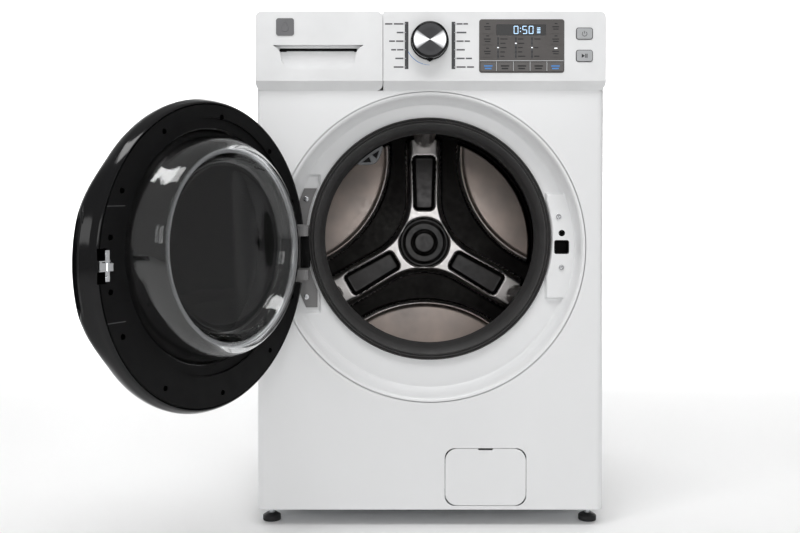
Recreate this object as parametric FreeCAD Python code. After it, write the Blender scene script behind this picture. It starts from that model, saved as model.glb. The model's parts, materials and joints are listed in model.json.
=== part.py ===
import FreeCAD, Part
import math
import os

# Front load washing machine. Lengths in millimetres, angles in degrees.
# X runs to the right seen from the front, Y to the back, Z up; the floor is Z = 0 and the
# origin is the middle of the footprint. "Depth" means distance behind the front panel's face.

# cabinet
WIDTH = 686.0
DEPTH = 735.0
BODY_Z = 34.0
TOP_Z = 1018.0
SHEET = 1.2
FRONT_Y = -DEPTH / 2
BACK_Y = DEPTH / 2
HALF = WIDTH / 2
SEAM_Y = FRONT_Y + 15.5
CORNER_R = 14.0
TOP_SKIRT_Z = 993.0

# console
CONSOLE_Z = 864.3
CONSOLE_UNDERCUT_Z = 882.0
CONSOLE_OUT = 14.0
CONSOLE_Y = FRONT_Y - CONSOLE_OUT
CONSOLE_WALL = 2.5
DRAWER_SEAM_X = -93.3
SEAM_GAP = 1.0
KNOB_X, KNOB_Z, KNOB_R = -2.0, 959.7, 35.6
PANEL_X0, PANEL_X1, PANEL_Z0, PANEL_Z1 = 94.6, 261.0, 897.6, 1002.0
WINDOW_X0, WINDOW_X1, WINDOW_Z0, WINDOW_Z1 = 128.0, 225.0, 970.6, 992.0
KEY_COUNT, KEY_W, KEY_H, KEY_Z = 5, 30.6, 17.6, 909.4
KEY_X0, KEY_STEP = 112.2, 32.8
BUTTON_X, BUTTON_W, BUTTON_H = 300.2, 30.6, 21.0
POWER_Z, START_Z = 974.0, 930.7
LED_BARS_X, LED_BAR_W, LED_BAR_Z0, LED_BAR_Z1 = (-47.1, 44.35), 7.0, 905.0, 997.0

# round recess in the front panel, with the latch pad and hinge pocket in its floor
RECESS_Z = 555.0
RECESS_DEPTH = 42.0
RECESS_Y = FRONT_Y + RECESS_DEPTH
SEAL_Z = 570.0
SEAL_R = 244.0
SEAL_HOLE_R = 236.0
THROAT_R = 213.0
PAD_RAISE = 8.0
POCKET_DEPTH = 50.0
HOOK_HOLE_X, HOOK_HOLE_Z, HOOK_HOLE_W, HOOK_HOLE_H = 264.7, 554.0, 28.0, 26.0

# door, drawn closed and then opened about the pin
PIN_X, PIN_Y, PIN_R = -270.0, FRONT_Y, 4.0
DOOR_OPEN = 120.5
DOOR_Z = RECESS_Z
RING_R = 264.0
RING_Y = FRONT_Y + 30.0
GLASS_Z = 571.0
GLASS_R = 205.0
LUG_Z = (501.0, 588.0)
LUG_H = 20.7
SCREW_ANGLES = (10, 28, 60, 95, 130, 158, 202, 230, 265, 300, 332, 350)
HOOK_X, HOOK_Z = 259.0, 554.0
HOOK_PIN_Y, HOOK_PIN_R = RING_Y + 1.0, 1.5

# tub and drum share one axis, lowered to the rear
TILT = 4.0
AXIS_Y, AXIS_Z = -325.0, 570.0
DRUM_R = 272.0
DRUM_FRONT, DRUM_BACK = 62.0, 490.0
TUB_R, TUB_WALL = 286.0, 5.0
TUB_FRONT, TUB_SPLIT, TUB_BACK = 50.0, 165.0, 528.0
SHAFT_R = 15.0
BEARING_CLEARANCE = 0.03

# service opening, feet and rear fittings
COVER_X0, COVER_X1, COVER_Z0, COVER_Z1, COVER_R, COVER_GAP = 29.8, 189.7, 42.3, 155.4, 24.0, 1.0
COVER_HOLE_R = 20.0
FLAP_PIN_Y, FLAP_PIN_Z, FLAP_PIN_R = FRONT_Y + 1.5, 44.0, 0.8
FILTER_X, FILTER_Z = 110.0, 98.0
FOOT_X, FOOT_Y = 320.0, (-322.0, 320.0)
INLET_X, INLET_Z, INLET_R = (215.0, 285.0), 945.0, 13.2
SPIGOT_X, SPIGOT_Z, SPIGOT_R = -285.0, 905.0, 11.0
CORD_X, CORD_Z, CORD_R = -250.0, 840.0, 9.0
SHIPPING_X, SHIPPING_Z, SHIPPING_R = 205.0, (400.0, 690.0), 12.0


def vec(x, y, z):
    return FreeCAD.Vector(x, y, z)


def block(x0, x1, y0, y1, z0, z1):
    """An upright box between pairs of limits."""
    return Part.makeBox(x1 - x0, y1 - y0, z1 - z0, vec(x0, y0, z0))


def rod(x, y, z, radius, length, way=(0, 1, 0)):
    """A cylinder from a start point along a direction."""
    return Part.makeCylinder(radius, length, vec(x, y, z), vec(*way))


def tube(x, y, z, outer, inner, length, way=(0, 1, 0)):
    return rod(x, y, z, outer, length, way).cut(rod(x, y, z, inner, length, way))


def join(shapes):
    """Fuse a list of touching solids into one."""
    return shapes[0].multiFuse(shapes[1:]).removeSplitter()


def slab(points, y0, y1):
    """An outline of (x, z) points, drawn in the XZ plane and given thickness along Y."""
    corners = [vec(x, y0, z) for x, z in points]
    face = Part.Face(Part.makePolygon(corners + corners[:1]))
    return face.extrude(vec(0, y1 - y0, 0))


def plan(points, z0, z1):
    """An outline of (x, y) points seen from above, given height."""
    corners = [vec(x, y, z0) for x, y in points]
    face = Part.Face(Part.makePolygon(corners + corners[:1]))
    return face.extrude(vec(0, 0, z1 - z0))


def round_plate(x0, x1, z0, z1, radius, y0, y1):
    """A plate facing front with its four corners rounded."""
    plate = block(x0, x1, y0, y1, z0, z1)
    corners = [e for e in plate.Edges if abs(e.BoundBox.YLength - (y1 - y0)) < 1e-6]
    return plate.makeFillet(radius, corners)


def spin(points, z=0.0, start=0.0, sweep=360.0):
    """Turn an outline of (radius, y) points about the Y axis at height z, counter-clockwise
    seen from the front, from an angle measured from 3 o'clock."""
    corners = [vec(r, y, z) for r, y in points]
    face = Part.Face(Part.makePolygon(corners + corners[:1]))
    turned = face.revolve(vec(0, 0, z), vec(0, 1, 0), -sweep)
    turned.rotate(vec(0, 0, z), vec(0, 1, 0), -start)
    return turned


def ring(outer, inner, y0, y1, z=0.0):
    return tube(0, y0, z, outer, inner, y1 - y0)


def offset(path, distance):
    """An open path of points moved sideways to its left by an even distance."""
    def normal(a, b):
        length = math.hypot(b[0] - a[0], b[1] - a[1])
        return (a[1] - b[1]) / length, (b[0] - a[0]) / length

    moved = []
    last = len(path) - 1
    for i, point in enumerate(path):
        before = normal(path[i - 1], point) if i else normal(point, path[1])
        after = normal(point, path[i + 1]) if i < last else before
        reach = distance / (1 + before[0] * after[0] + before[1] * after[1])
        moved.append((point[0] + (before[0] + after[0]) * reach,
                      point[1] + (before[1] + after[1]) * reach))
    return moved


def ribbon(path, thickness):
    """An open path closed into a strip of even thickness on its left."""
    return path + offset(path, thickness)[::-1]


def around(shape, angles, z=0.0):
    """Copies of a shape turned about the Y axis at height z, counter-clockwise from the front."""
    copies = []
    for angle in angles:
        copy = shape.copy()
        copy.rotate(vec(0, 0, z), vec(0, 1, 0), -angle)
        copies.append(copy)
    return copies


def polar(radius, angle, z=0.0):
    """The (x, z) point at a radius and an angle from 3 o'clock, seen from the front."""
    turn = math.radians(angle)
    return radius * math.cos(turn), z + radius * math.sin(turn)


def tilted(shape):
    """Bring a shape drawn about the Y axis at the origin onto the tub's axis."""
    shape.rotate(vec(0, 0, 0), vec(1, 0, 0), -TILT)
    shape.translate(vec(0, AXIS_Y, AXIS_Z))
    return shape


def opened(shape):
    """Swing a piece of the closed door to its open rest position."""
    shape.rotate(vec(PIN_X, PIN_Y, 0), vec(0, 0, 1), -DOOR_OPEN)
    return shape


def ring_y(height):
    """Y of a point a given height outward from the closed door's inner face."""
    return RING_Y - height


def hose(points, outer, inner):
    """A round hose through a list of points, open at both ends."""
    def solid(radius, stretch):
        pieces = []
        for a, b in zip(points, points[1:]):
            start, way = vec(*a), vec(*b) - vec(*a)
            unit = vec(*b) - vec(*a)
            unit.normalize()
            first = stretch if a == points[0] else 0.0
            final = stretch if b == points[-1] else 0.0
            length = way.Length + first + final
            pieces.append(Part.makeCylinder(radius, length, start - unit * first, unit))
        pieces += [Part.makeSphere(radius, vec(*p)) for p in points[1:-1]]
        return join(pieces)

    return solid(outer, 0.0).cut(solid(inner, 1.0))


# ---------------------------------------------------------------- cabinet

def front_volume(inset):
    """Everything behind the front panel's face, or behind its back when inset by the sheet."""
    face = FRONT_Y + inset
    body = block(-HALF + inset, HALF - inset, face, FRONT_Y + 80, BODY_Z + inset, CONSOLE_Z - inset)
    sides = [e for e in body.Edges
             if abs(e.BoundBox.ZLength - (CONSOLE_Z - BODY_Z - 2 * inset)) < 1e-6
             and abs(e.BoundBox.YMin - face) < 1e-6]
    body = body.makeFillet(CORNER_R - inset, sides)
    wall = offset([(306.5, FRONT_Y), (303.5, FRONT_Y + 0.7), (300.5, FRONT_Y + 3.0),
                   (298.2, FRONT_Y + 7.5), (287.5, RECESS_Y - 5.5), (285.3, RECESS_Y - 1.6),
                   (281.5, RECESS_Y), (40.0, RECESS_Y)], -inset)
    dish = spin(wall + [(0.0, wall[-1][1]), (0.0, FRONT_Y - 20), (wall[0][0], FRONT_Y - 20)], RECESS_Z)
    body = body.cut(dish)
    pad = block(234.0 + inset, 296.0, RECESS_Y - PAD_RAISE + inset, RECESS_Y + 20,
                450.0 + inset, 661.0 - inset)
    pad = pad.cut(rod(0, RECESS_Y - 30, SEAL_Z, SEAL_R + 2.0 + inset, 80))
    pad = pad.cut(ring(400, 292, FRONT_Y, RECESS_Y + 30, RECESS_Z))
    pocket = block(-300.0, -222.0 + inset, RECESS_Y - 10, FRONT_Y + POCKET_DEPTH + inset,
                   422.0 - inset, 698.0 + inset)
    pocket = pocket.cut(rod(0, RECESS_Y - 30, SEAL_Z, SEAL_R + 3.0 - inset, 80))
    pocket = pocket.common(rod(0, RECESS_Y - 10, RECESS_Z, 282.0 + inset, 40))
    return body.fuse(pad).cut(pocket)


def front_panel():
    skin = front_volume(0.0).cut(front_volume(SHEET))
    trims = [block(-HALF - 1, -HALF + 30, SEAM_Y, FRONT_Y + 90, 0, TOP_Z),
             block(HALF - 30, HALF + 1, SEAM_Y, FRONT_Y + 90, 0, TOP_Z),
             block(-HALF, HALF, SEAM_Y, FRONT_Y + 90, BODY_Z - 1, BODY_Z + 15),
             block(-HALF, HALF, SEAM_Y, FRONT_Y + 90, CONSOLE_Z - 5, CONSOLE_Z + 1)]
    holes = [rod(0, RECESS_Y - 20, SEAL_Z, SEAL_HOLE_R, 60),
             round_plate(COVER_X0 - COVER_GAP, COVER_X1 + COVER_GAP, COVER_Z0 - COVER_GAP,
                         COVER_Z1 + COVER_GAP, COVER_HOLE_R, FRONT_Y - 5, FRONT_Y + 5),
             round_plate(HOOK_HOLE_X - HOOK_HOLE_W / 2, HOOK_HOLE_X + HOOK_HOLE_W / 2,
                         HOOK_HOLE_Z - HOOK_HOLE_H / 2, HOOK_HOLE_Z + HOOK_HOLE_H / 2,
                         3.0, RECESS_Y - 20, RECESS_Y + 10),
             rod(265.0, RECESS_Y - 20, 582.0, 5.3, 30)]
    holes += [rod(x, RECESS_Y - 20, z, 2.7, 40) for x, z in screw_points()]
    panel = skin
    for tool in trims + holes:
        panel = panel.cut(tool)
    return panel.removeSplitter()


def screw_points():
    """The four screws in the recess: two through the hinge plate and two through the latch pad."""
    return [(-249.5, 650.5), (-249.5, 452.5), (258.4, 615.0), (264.3, 513.0)]


def panel_screws():
    plate_face = FRONT_Y + POCKET_DEPTH - 3.0
    pad_face = RECESS_Y - PAD_RAISE
    screws = []
    for (x, z), face in zip(screw_points(), (plate_face, plate_face, pad_face, pad_face)):
        head = rod(x, face - 2.4, z, 5.4, 2.4)
        shank = rod(x, face, z, 2.5, 12.0)
        cross = [block(x - 2.8, x + 2.8, face - 3, face - 1.0, z - 0.5, z + 0.5),
                 block(x - 0.5, x + 0.5, face - 3, face - 1.0, z - 2.8, z + 2.8)]
        screws.append(head.fuse(shank).cut(cross[0]).cut(cross[1]))
    return Part.makeCompound(screws)


def side_panel(side):
    """A folded side panel with flanges at its front, back and top, and a shelf for the spring."""
    outer = block(HALF - 15, HALF, SEAM_Y, BACK_Y - SHEET, BODY_Z + 2, TOP_SKIRT_Z)
    inner = block(HALF - 16, HALF - SHEET, SEAM_Y + SHEET, BACK_Y - 2 * SHEET,
                  BODY_Z + 1, TOP_SKIRT_Z - SHEET)
    shelf = block(298.0, HALF - SHEET, -20, 20, 938.0, 941.0)
    gusset = [plan([(HALF - SHEET, y), (300.0, y), (HALF - SHEET, y + 2)], 941.0, 965.0)
              for y in (-20.0, 18.0)]
    panel = join([outer.cut(inner), shelf] + gusset)
    return panel if side > 0 else panel.mirror(vec(0, 0, 0), vec(1, 0, 0))


def top_panel():
    outer = block(-HALF, HALF, SEAM_Y, BACK_Y, TOP_SKIRT_Z, TOP_Z)
    upright = [e for e in outer.Edges if abs(e.BoundBox.ZLength - (TOP_Z - TOP_SKIRT_Z)) < 1e-6
               and e.BoundBox.YMin > 0]
    outer = outer.makeFillet(8.0, upright)
    inner = block(-HALF + SHEET, HALF - SHEET, SEAM_Y + SHEET, BACK_Y - SHEET,
                  TOP_SKIRT_Z - 1, TOP_Z - SHEET)
    upright = [e for e in inner.Edges if abs(e.BoundBox.ZLength - (TOP_Z - TOP_SKIRT_Z - SHEET + 1)) < 1e-6
               and e.BoundBox.YMin > 0]
    return outer.cut(inner.makeFillet(8.0 - SHEET, upright))


def rear_panel():
    panel = block(-HALF, HALF, BACK_Y - SHEET, BACK_Y, BODY_Z + 2, TOP_SKIRT_Z)
    start = BACK_Y - 10
    holes = [rod(0, start, 545.0, 145.0, 20), rod(CORD_X, start, CORD_Z, CORD_R, 20),
             rod(SPIGOT_X, start, SPIGOT_Z, 12.0, 20)]
    holes += [rod(x, start, INLET_Z, INLET_R + 0.8, 20) for x in INLET_X]
    holes += [rod(x, start, z, SHIPPING_R, 20) for x in (-SHIPPING_X, SHIPPING_X) for z in SHIPPING_Z]
    for hole in holes:
        panel = panel.cut(hole)
    return panel


def rear_access_cover():
    plate = rod(0, BACK_Y, 545.0, 160.0, SHEET)
    dome = spin([(0, BACK_Y + 9), (105, BACK_Y + 9), (125, BACK_Y), (0, BACK_Y)], 545.0)
    hollow = spin([(0, BACK_Y + 9 - SHEET), (104, BACK_Y + 9 - SHEET), (123, BACK_Y - 1),
                   (0, BACK_Y - 1)], 545.0)
    return plate.fuse(dome).cut(hollow).removeSplitter()


def base_frame():
    """The floor tray: a ring of sheet with a turned-up rim and a bracket under each damper."""
    thick = 2.0
    z0 = BODY_Z + 2
    side = HALF - SHEET
    front, back = SEAM_Y + SHEET + 0.3, BACK_Y - 2 * SHEET
    tray = block(-side, side, front, back, z0, z0 + 24)
    tray = tray.cut(block(-side + thick, side - thick, front + thick, back - thick,
                          z0 + thick, z0 + 30))
    tray = tray.cut(block(-260, 260, -240, 260, z0 - 1, z0 + 10))
    tray = tray.fuse(block(-side + thick, side - thick, -14, 54, z0, z0 + thick))
    for x in (-FOOT_X, FOOT_X):
        for y in FOOT_Y:
            tray = tray.cut(rod(x, y, z0 - 1, 5.2, 10, (0, 0, 1)))
    return tray.cut(rod(FILTER_X, front - 1, FILTER_Z, 41.5, 6)).removeSplitter()


def foot_studs():
    studs = []
    for x in (-FOOT_X, FOOT_X):
        for y in FOOT_Y:
            nut = plan([(x + 9.5 * math.cos(math.radians(a)), y + 9.5 * math.sin(math.radians(a)))
                        for a in range(0, 360, 60)], BODY_Z - 5, BODY_Z + 2)
            studs.append(nut.fuse(rod(x, y, 6.0, 5.0, 46.0, (0, 0, 1))).removeSplitter())
    return Part.makeCompound(studs)


def foot_pads():
    pads = []
    for x in (-FOOT_X, FOOT_X):
        for y in FOOT_Y:
            base = rod(x, y, 0, 18.0, 10.0, (0, 0, 1))
            neck = Part.makeCone(18.0, 10.0, 5.0, vec(x, y, 10.0), vec(0, 0, 1))
            pads.append(base.fuse(neck).cut(rod(x, y, 6.0, 5.0, 20, (0, 0, 1))).removeSplitter())
    return Part.makeCompound(pads)


# ---------------------------------------------------------------- console and drawer

def console_volume(x0, x1, inset, round_left, round_right):
    """A length of the console's solid outline, with the slanted strip under its lower edge."""
    body = block(x0 + inset, x1 - inset, CONSOLE_Y + inset, SEAM_Y - 1.0, CONSOLE_Z + inset,
                 TOP_Z - inset)
    long_y = SEAM_Y - 1.0 - CONSOLE_Y - inset
    corners = []
    for edge in body.Edges:
        box = edge.BoundBox
        if abs(box.YLength - long_y) < 1e-6:
            at_right = box.XMin > (x0 + x1) / 2
            if (at_right and round_right) or (not at_right and round_left):
                corners.append(edge)
    if corners:
        body = body.makeFillet(13.0 - inset, corners)
    wedge = Part.Face(Part.makePolygon([
        vec(x0 - 5, FRONT_Y + inset, CONSOLE_Z - 5), vec(x0 - 5, FRONT_Y + inset, CONSOLE_Z + inset),
        vec(x0 - 5, CONSOLE_Y + inset, CONSOLE_UNDERCUT_Z + inset * 0.6),
        vec(x0 - 5, CONSOLE_Y - 30, CONSOLE_UNDERCUT_Z + inset * 0.6),
        vec(x0 - 5, CONSOLE_Y - 30, CONSOLE_Z - 5), vec(x0 - 5, FRONT_Y + inset, CONSOLE_Z - 5)]))
    return body.cut(wedge.extrude(vec(x1 - x0 + 10, 0, 0)))


def console_fascia():
    x0, x1 = DRAWER_SEAM_X + SEAM_GAP / 2, HALF
    shell = console_volume(x0, x1, 0.0, False, True)
    hollow = console_volume(x0, x1, CONSOLE_WALL, False, True)
    hollow = hollow.fuse(block(x0 + CONSOLE_WALL, x1 - 14, SEAM_Y - 8, SEAM_Y, CONSOLE_Z + 14, TOP_Z - 14))
    shell = shell.cut(hollow)
    back = CONSOLE_Y + CONSOLE_WALL
    posts = [rod(x, back, z, 4.0, 7.0) for x in (-70.0, 275.0) for z in (893.0, 1004.0)]
    shell = join([shell] + posts)
    shell = shell.cut(rod(KNOB_X, CONSOLE_Y - 1, KNOB_Z, 7.3, 10))
    for x in LED_BARS_X:
        shell = shell.cut(block(x - LED_BAR_W / 2, x + LED_BAR_W / 2, CONSOLE_Y - 1, CONSOLE_Y + 10,
                                LED_BAR_Z0, LED_BAR_Z1))
    shell = shell.cut(round_plate(PANEL_X0 + 1.6, PANEL_X1 - 1.6, PANEL_Z0 + 1, PANEL_Z1 - 4, 2.0,
                                  CONSOLE_Y - 1, CONSOLE_Y + 10))
    shell = shell.cut(round_plate(PANEL_X0, PANEL_X1, PANEL_Z0, PANEL_Z1, 5.3,
                                  CONSOLE_Y - 1, CONSOLE_Y + 1.0))
    for z in (POWER_Z, START_Z):
        shell = shell.cut(button_plate(BUTTON_X, z, BUTTON_W + 0.8, BUTTON_H + 0.8, 4.4,
                                       CONSOLE_Y - 1, CONSOLE_Y + 10))
    return shell


def button_plate(x, z, width, height, radius, y0, y1):
    return round_plate(x - width / 2, x + width / 2, z - height / 2, z + height / 2, radius, y0, y1)


def press_button(z):
    """A push button with a rounded cap and a plunger behind it."""
    cap = button_plate(BUTTON_X, z, BUTTON_W, BUTTON_H, 4.0, CONSOLE_Y - 2.0, CONSOLE_Y + 4.0)
    plunger = block(BUTTON_X - 6, BUTTON_X + 6, CONSOLE_Y + 4, CONSOLE_Y + 6.5, z - 6, z + 6)
    return cap.fuse(plunger).removeSplitter()


def key_x(index):
    return KEY_X0 + KEY_STEP * index


def option_key(index):
    x = key_x(index)
    return button_plate(x, KEY_Z, KEY_W, KEY_H, 2.0, CONSOLE_Y - 1.6, CONSOLE_Y + 5.0)


def display_panel():
    """The metallic plate let into the fascia, with a window and a row of key openings."""
    plate = round_plate(PANEL_X0 + 0.1, PANEL_X1 - 0.1, PANEL_Z0 + 0.1, PANEL_Z1 - 0.1, 5.2,
                        CONSOLE_Y - 0.8, CONSOLE_Y + 1.0)
    plate = plate.cut(round_plate(WINDOW_X0, WINDOW_X1, WINDOW_Z0, WINDOW_Z1, 2.0,
                                  CONSOLE_Y - 2, CONSOLE_Y + 3))
    for index in range(KEY_COUNT):
        plate = plate.cut(button_plate(key_x(index), KEY_Z, KEY_W + 0.8, KEY_H + 0.8, 2.4,
                                       CONSOLE_Y - 2, CONSOLE_Y + 3))
    ridges = []
    for x in (111.0, 244.5):
        for z in (974.5, 953.0, 928.5):
            ridges.append(block(x - 10, x + 10, CONSOLE_Y - 1.4, CONSOLE_Y - 0.8, z - 0.7, z + 0.7))
    return join([plate] + ridges)


def display_window():
    return round_plate(WINDOW_X0 + 0.05, WINDOW_X1 - 0.05, WINDOW_Z0 + 0.05, WINDOW_Z1 - 0.05, 1.9,
                       CONSOLE_Y - 0.9, CONSOLE_Y + 5.0)


def indicator_bars():
    """Two dark light bars beside the knob, each with six raised lenses."""
    bars = []
    for x in LED_BARS_X:
        bar = block(x - LED_BAR_W / 2, x + LED_BAR_W / 2, CONSOLE_Y - 0.4, CONSOLE_Y + 4.0,
                    LED_BAR_Z0, LED_BAR_Z1)
        middle = (LED_BAR_Z0 + LED_BAR_Z1) / 2
        lenses = [block(x - 2.4, x + 2.4, CONSOLE_Y - 0.8, CONSOLE_Y - 0.4, z - 0.8, z + 0.8)
                  for z in [middle + 16.8 * (i - 2.5) for i in range(6)]]
        bars.append(join([bar] + lenses))
    return Part.makeCompound(bars)


def control_module():
    """The sealed electronics box behind the fascia."""
    box = block(-76, 281, CONSOLE_Y + 9.5, SEAM_Y - 2.0, 887.0, 1010.0)
    inside = block(-74, 279, CONSOLE_Y + 11.5, SEAM_Y + 1, 889.0, 1008.0)
    box = box.cut(inside)
    box = box.cut(rod(KNOB_X, CONSOLE_Y, KNOB_Z, 9.0, 25))
    return box


def knob():
    """The program knob: a round grip with a pointer at its lower edge, on a stem."""
    base = CONSOLE_Y - 1.5
    front = FRONT_Y - 39.0
    body = spin([(0, base), (KNOB_R, base), (KNOB_R, front + 4), (KNOB_R - 1.2, front + 1.2),
                 (KNOB_R - 3.6, front), (0, front)], KNOB_Z)
    body.translate(vec(KNOB_X, 0, 0))
    pointer = slab([(KNOB_X - 6, KNOB_Z - 33), (KNOB_X + 6, KNOB_Z - 33), (KNOB_X, KNOB_Z - 41)],
                   base - 8, base - 2)
    stem = rod(KNOB_X, base - 1, KNOB_Z, 6.9, 12.0)
    dish = spin([(0, front - 1), (29, front - 1), (29, front + 1.0), (0, front + 1.0)], KNOB_Z)
    dish.translate(vec(KNOB_X, 0, 0))
    return join([body, pointer, stem]).cut(dish)


def handle_outline(grow):
    """The winged outline of the drawer's finger recess, as (x, z) points."""
    half, top, foot = 89.0 + grow, 952.0 + grow, 905.6 - grow
    middle = -220.0
    right = [(half, top), (half - 8, top - 5.5), (half - 13.5, top - 12), (half - 15.8, top - 21),
             (half - 17, top - 30), (half - 21, foot + 9), (half - 27, foot + 3), (half - 35, foot)]
    left = [(-x, z) for x, z in reversed(right)]
    return [(middle + x, z) for x, z in right + left]


def drawer_front():
    x0, x1 = -HALF, DRAWER_SEAM_X - SEAM_GAP / 2
    wall = CONSOLE_WALL
    shell = console_volume(x0, x1, 0.0, True, True)
    hollow = console_volume(x0, x1, wall, True, True)
    hollow = hollow.fuse(block(x0 + 14, x1 - 14, SEAM_Y - 8, SEAM_Y, CONSOLE_Z + 14, TOP_Z - 14))
    recess_y = CONSOLE_Y + 13.0
    cup = slab(handle_outline(wall), CONSOLE_Y, recess_y + wall)
    slot = block(-297.0, -144.0, recess_y - 1, recess_y + 9.0, 940.0, 947.0)
    slot_box = block(-299.5, -141.5, recess_y, recess_y + 11.0, 937.5, 949.5)
    ribs = [block(x - 1.5, x + 1.5, CONSOLE_Y + 1, SEAM_Y - 1, 890.0, 990.0) for x in (-325.0, -112.0)]
    front = join([shell.cut(hollow), cup, slot_box] + ribs)
    return front.cut(slab(handle_outline(0.0), CONSOLE_Y - 1, recess_y)).cut(slot)


def badge():
    """A plain rounded plate on the drawer front with a raised drop."""
    plate = round_plate(-302.0, -267.0, 970.0, 1004.0, 5.0, CONSOLE_Y - 1.4, CONSOLE_Y)
    drop = [(-284.5 + 7 * math.cos(math.radians(a)), 984.5 + 7 * math.sin(math.radians(a)))
            for a in range(150, 391, 20)] + [(-284.5, 998.0)]
    return plate.fuse(slab(drop, CONSOLE_Y - 2.2, CONSOLE_Y - 1.4)).removeSplitter()


def drawer_tray():
    """The detergent tray: an open box with three compartments behind a front wall."""
    y0, y1 = SEAM_Y - 1.0, -115.0
    tray = block(-322.0, -116.0, y0, y1, 892.0, 948.0)
    tray = tray.fuse(block(-326.5, -110.5, y0, y0 + 2.5, 892.0, 988.0))
    for x0, x1 in ((-319.5, -254.0), (-251.5, -186.5), (-184.0, -118.5)):
        tray = tray.cut(block(x0, x1, y0 + 14, y1 - 2.5, 895.0, 960.0))
    return tray.removeSplitter()


def dispenser_housing():
    """The fixed box the drawer slides in, with water jets above and a spout to the tub."""
    y0, y1 = SEAM_Y + 5.0, -80.0
    box = block(-331.0, -107.0, y0, y1, 886.0, 990.0)
    box = box.cut(block(-328.5, -109.5, y0 - 1, y1 - 2.5, 888.5, 987.5))
    rails = [block(-328.5, -323.5, y0 + 20, y1 - 3, 930.0, 934.0),
             block(-114.5, -109.5, y0 + 20, y1 - 3, 930.0, 934.0)]
    spout = rod(-219.0, -130.0, 874.0, 16.0, 13.0, (0, 0, 1))
    box = join([box, spout] + rails)
    return box.cut(rod(-219.0, -130.0, 870.0, 13.5, 25.0, (0, 0, 1)))


# ---------------------------------------------------------------- seal, hinge and lock

def door_seal():
    """The bellows: a rim gripping the panel's hole, a throat, and a collar over the tub's neck."""
    rim = [(SEAL_R, RECESS_Y), (SEAL_R, RECESS_Y - 5), (SEAL_R - 1.2, RECESS_Y - 7.6),
           (SEAL_R - 3.5, RECESS_Y - 9), (SEAL_R - 6, RECESS_Y - 7.4), (SEAL_R - 8, RECESS_Y - 9),
           (SEAL_R - 12, RECESS_Y - 9), (SEAL_R - 18, RECESS_Y - 6.5), (SEAL_R - 24, RECESS_Y + 1.5),
           (THROAT_R + 3, RECESS_Y + 13), (THROAT_R, RECESS_Y + 26), (THROAT_R, RECESS_Y + 75),
           (THROAT_R + 3, RECESS_Y + 75), (THROAT_R + 3, RECESS_Y + 26),
           (THROAT_R + 6.2, RECESS_Y + 14), (SEAL_R - 20.5, RECESS_Y + 5.5), (SEAL_R - 16, RECESS_Y + 7.5),
           (SEAL_R - 3, RECESS_Y + 7.5), (SEAL_R - 3, RECESS_Y + SHEET), (SEAL_HOLE_R, RECESS_Y + SHEET),
           (SEAL_HOLE_R, RECESS_Y)]
    throat = spin(rim, SEAL_Z)
    behind = tilted(block(-400, 400, 33.0, 300, -400, 400))
    collar = tilted(spin([(THROAT_R, 29.5), (234, 29.5), (234, 48), (230, 48), (230, 33), (THROAT_R, 33)]))
    return throat.cut(behind).fuse(collar).removeSplitter()


def seal_clamp():
    band = ring(237.0, 234.0, 38.0, 44.0)
    return tilted(band.fuse(block(-9, 9, 38.0, 44.0, -243.0, -236.0)).removeSplitter())


def spray_nozzle():
    """A D-shaped jet with two three-cornered openings, let into the seal's throat."""
    y0, y1 = RECESS_Y + 22.0, RECESS_Y + 34.0
    face = spin([(191.0, y0), (THROAT_R, y0), (THROAT_R, y1), (191.0, y1)], SEAL_Z, 119.5, 13.0)
    holes = []
    for angle in (123.3, 128.7):
        corners = [polar(196.0, angle - 1.5, SEAL_Z), polar(196.0, angle + 1.5, SEAL_Z),
                   polar(207.0, angle, SEAL_Z)]
        holes.append(slab(corners, y0 - 1, y1 + 1))
    return face.cut(holes[0]).cut(holes[1])


def hinge_plate():
    """The steel plate in the hinge pocket with two forward lugs that carry the pin."""
    back = FRONT_Y + POCKET_DEPTH
    plate = block(-290, -227, back - 3.0, back, 431.0, 672.0)
    plate = plate.common(rod(0, back - 10, RECESS_Z, 279.0, 20))
    plate = plate.cut(rod(0, back - 10, SEAL_Z, 250.0, 20))
    outline = [(-264, back - 3), (-250.5, back - 3), (-247, back - 16), (-243, back - 24),
               (-242, back - 30), (-242, PIN_Y - 3), (-249, PIN_Y - 9), (-270, PIN_Y - 9.5)]
    outline += [(PIN_X + 9.5 * math.cos(math.radians(a)), PIN_Y + 9.5 * math.sin(math.radians(a)))
                for a in range(-105, -211, -15)]
    outline += [(-268, PIN_Y + 15)]
    lugs = [plan(outline, z - LUG_H / 2, z + LUG_H / 2) for z in LUG_Z]
    body = join([plate] + lugs)
    body = body.cut(rod(PIN_X, PIN_Y, 480.0, PIN_R, 130.0, (0, 0, 1)))
    for x, z in screw_points()[:2]:
        body = body.cut(rod(x, back - 10, z, 2.7, 20))
    return body


def hinge_pin():
    low, high = LUG_Z[0] - LUG_H / 2, LUG_Z[1] + LUG_H / 2
    pin = rod(PIN_X, PIN_Y, low, PIN_R, high - low, (0, 0, 1))
    heads = [rod(PIN_X, PIN_Y, low - 2, 6.0, 2.0, (0, 0, 1)), rod(PIN_X, PIN_Y, high, 6.0, 2.0, (0, 0, 1))]
    return join([pin] + heads)


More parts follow.
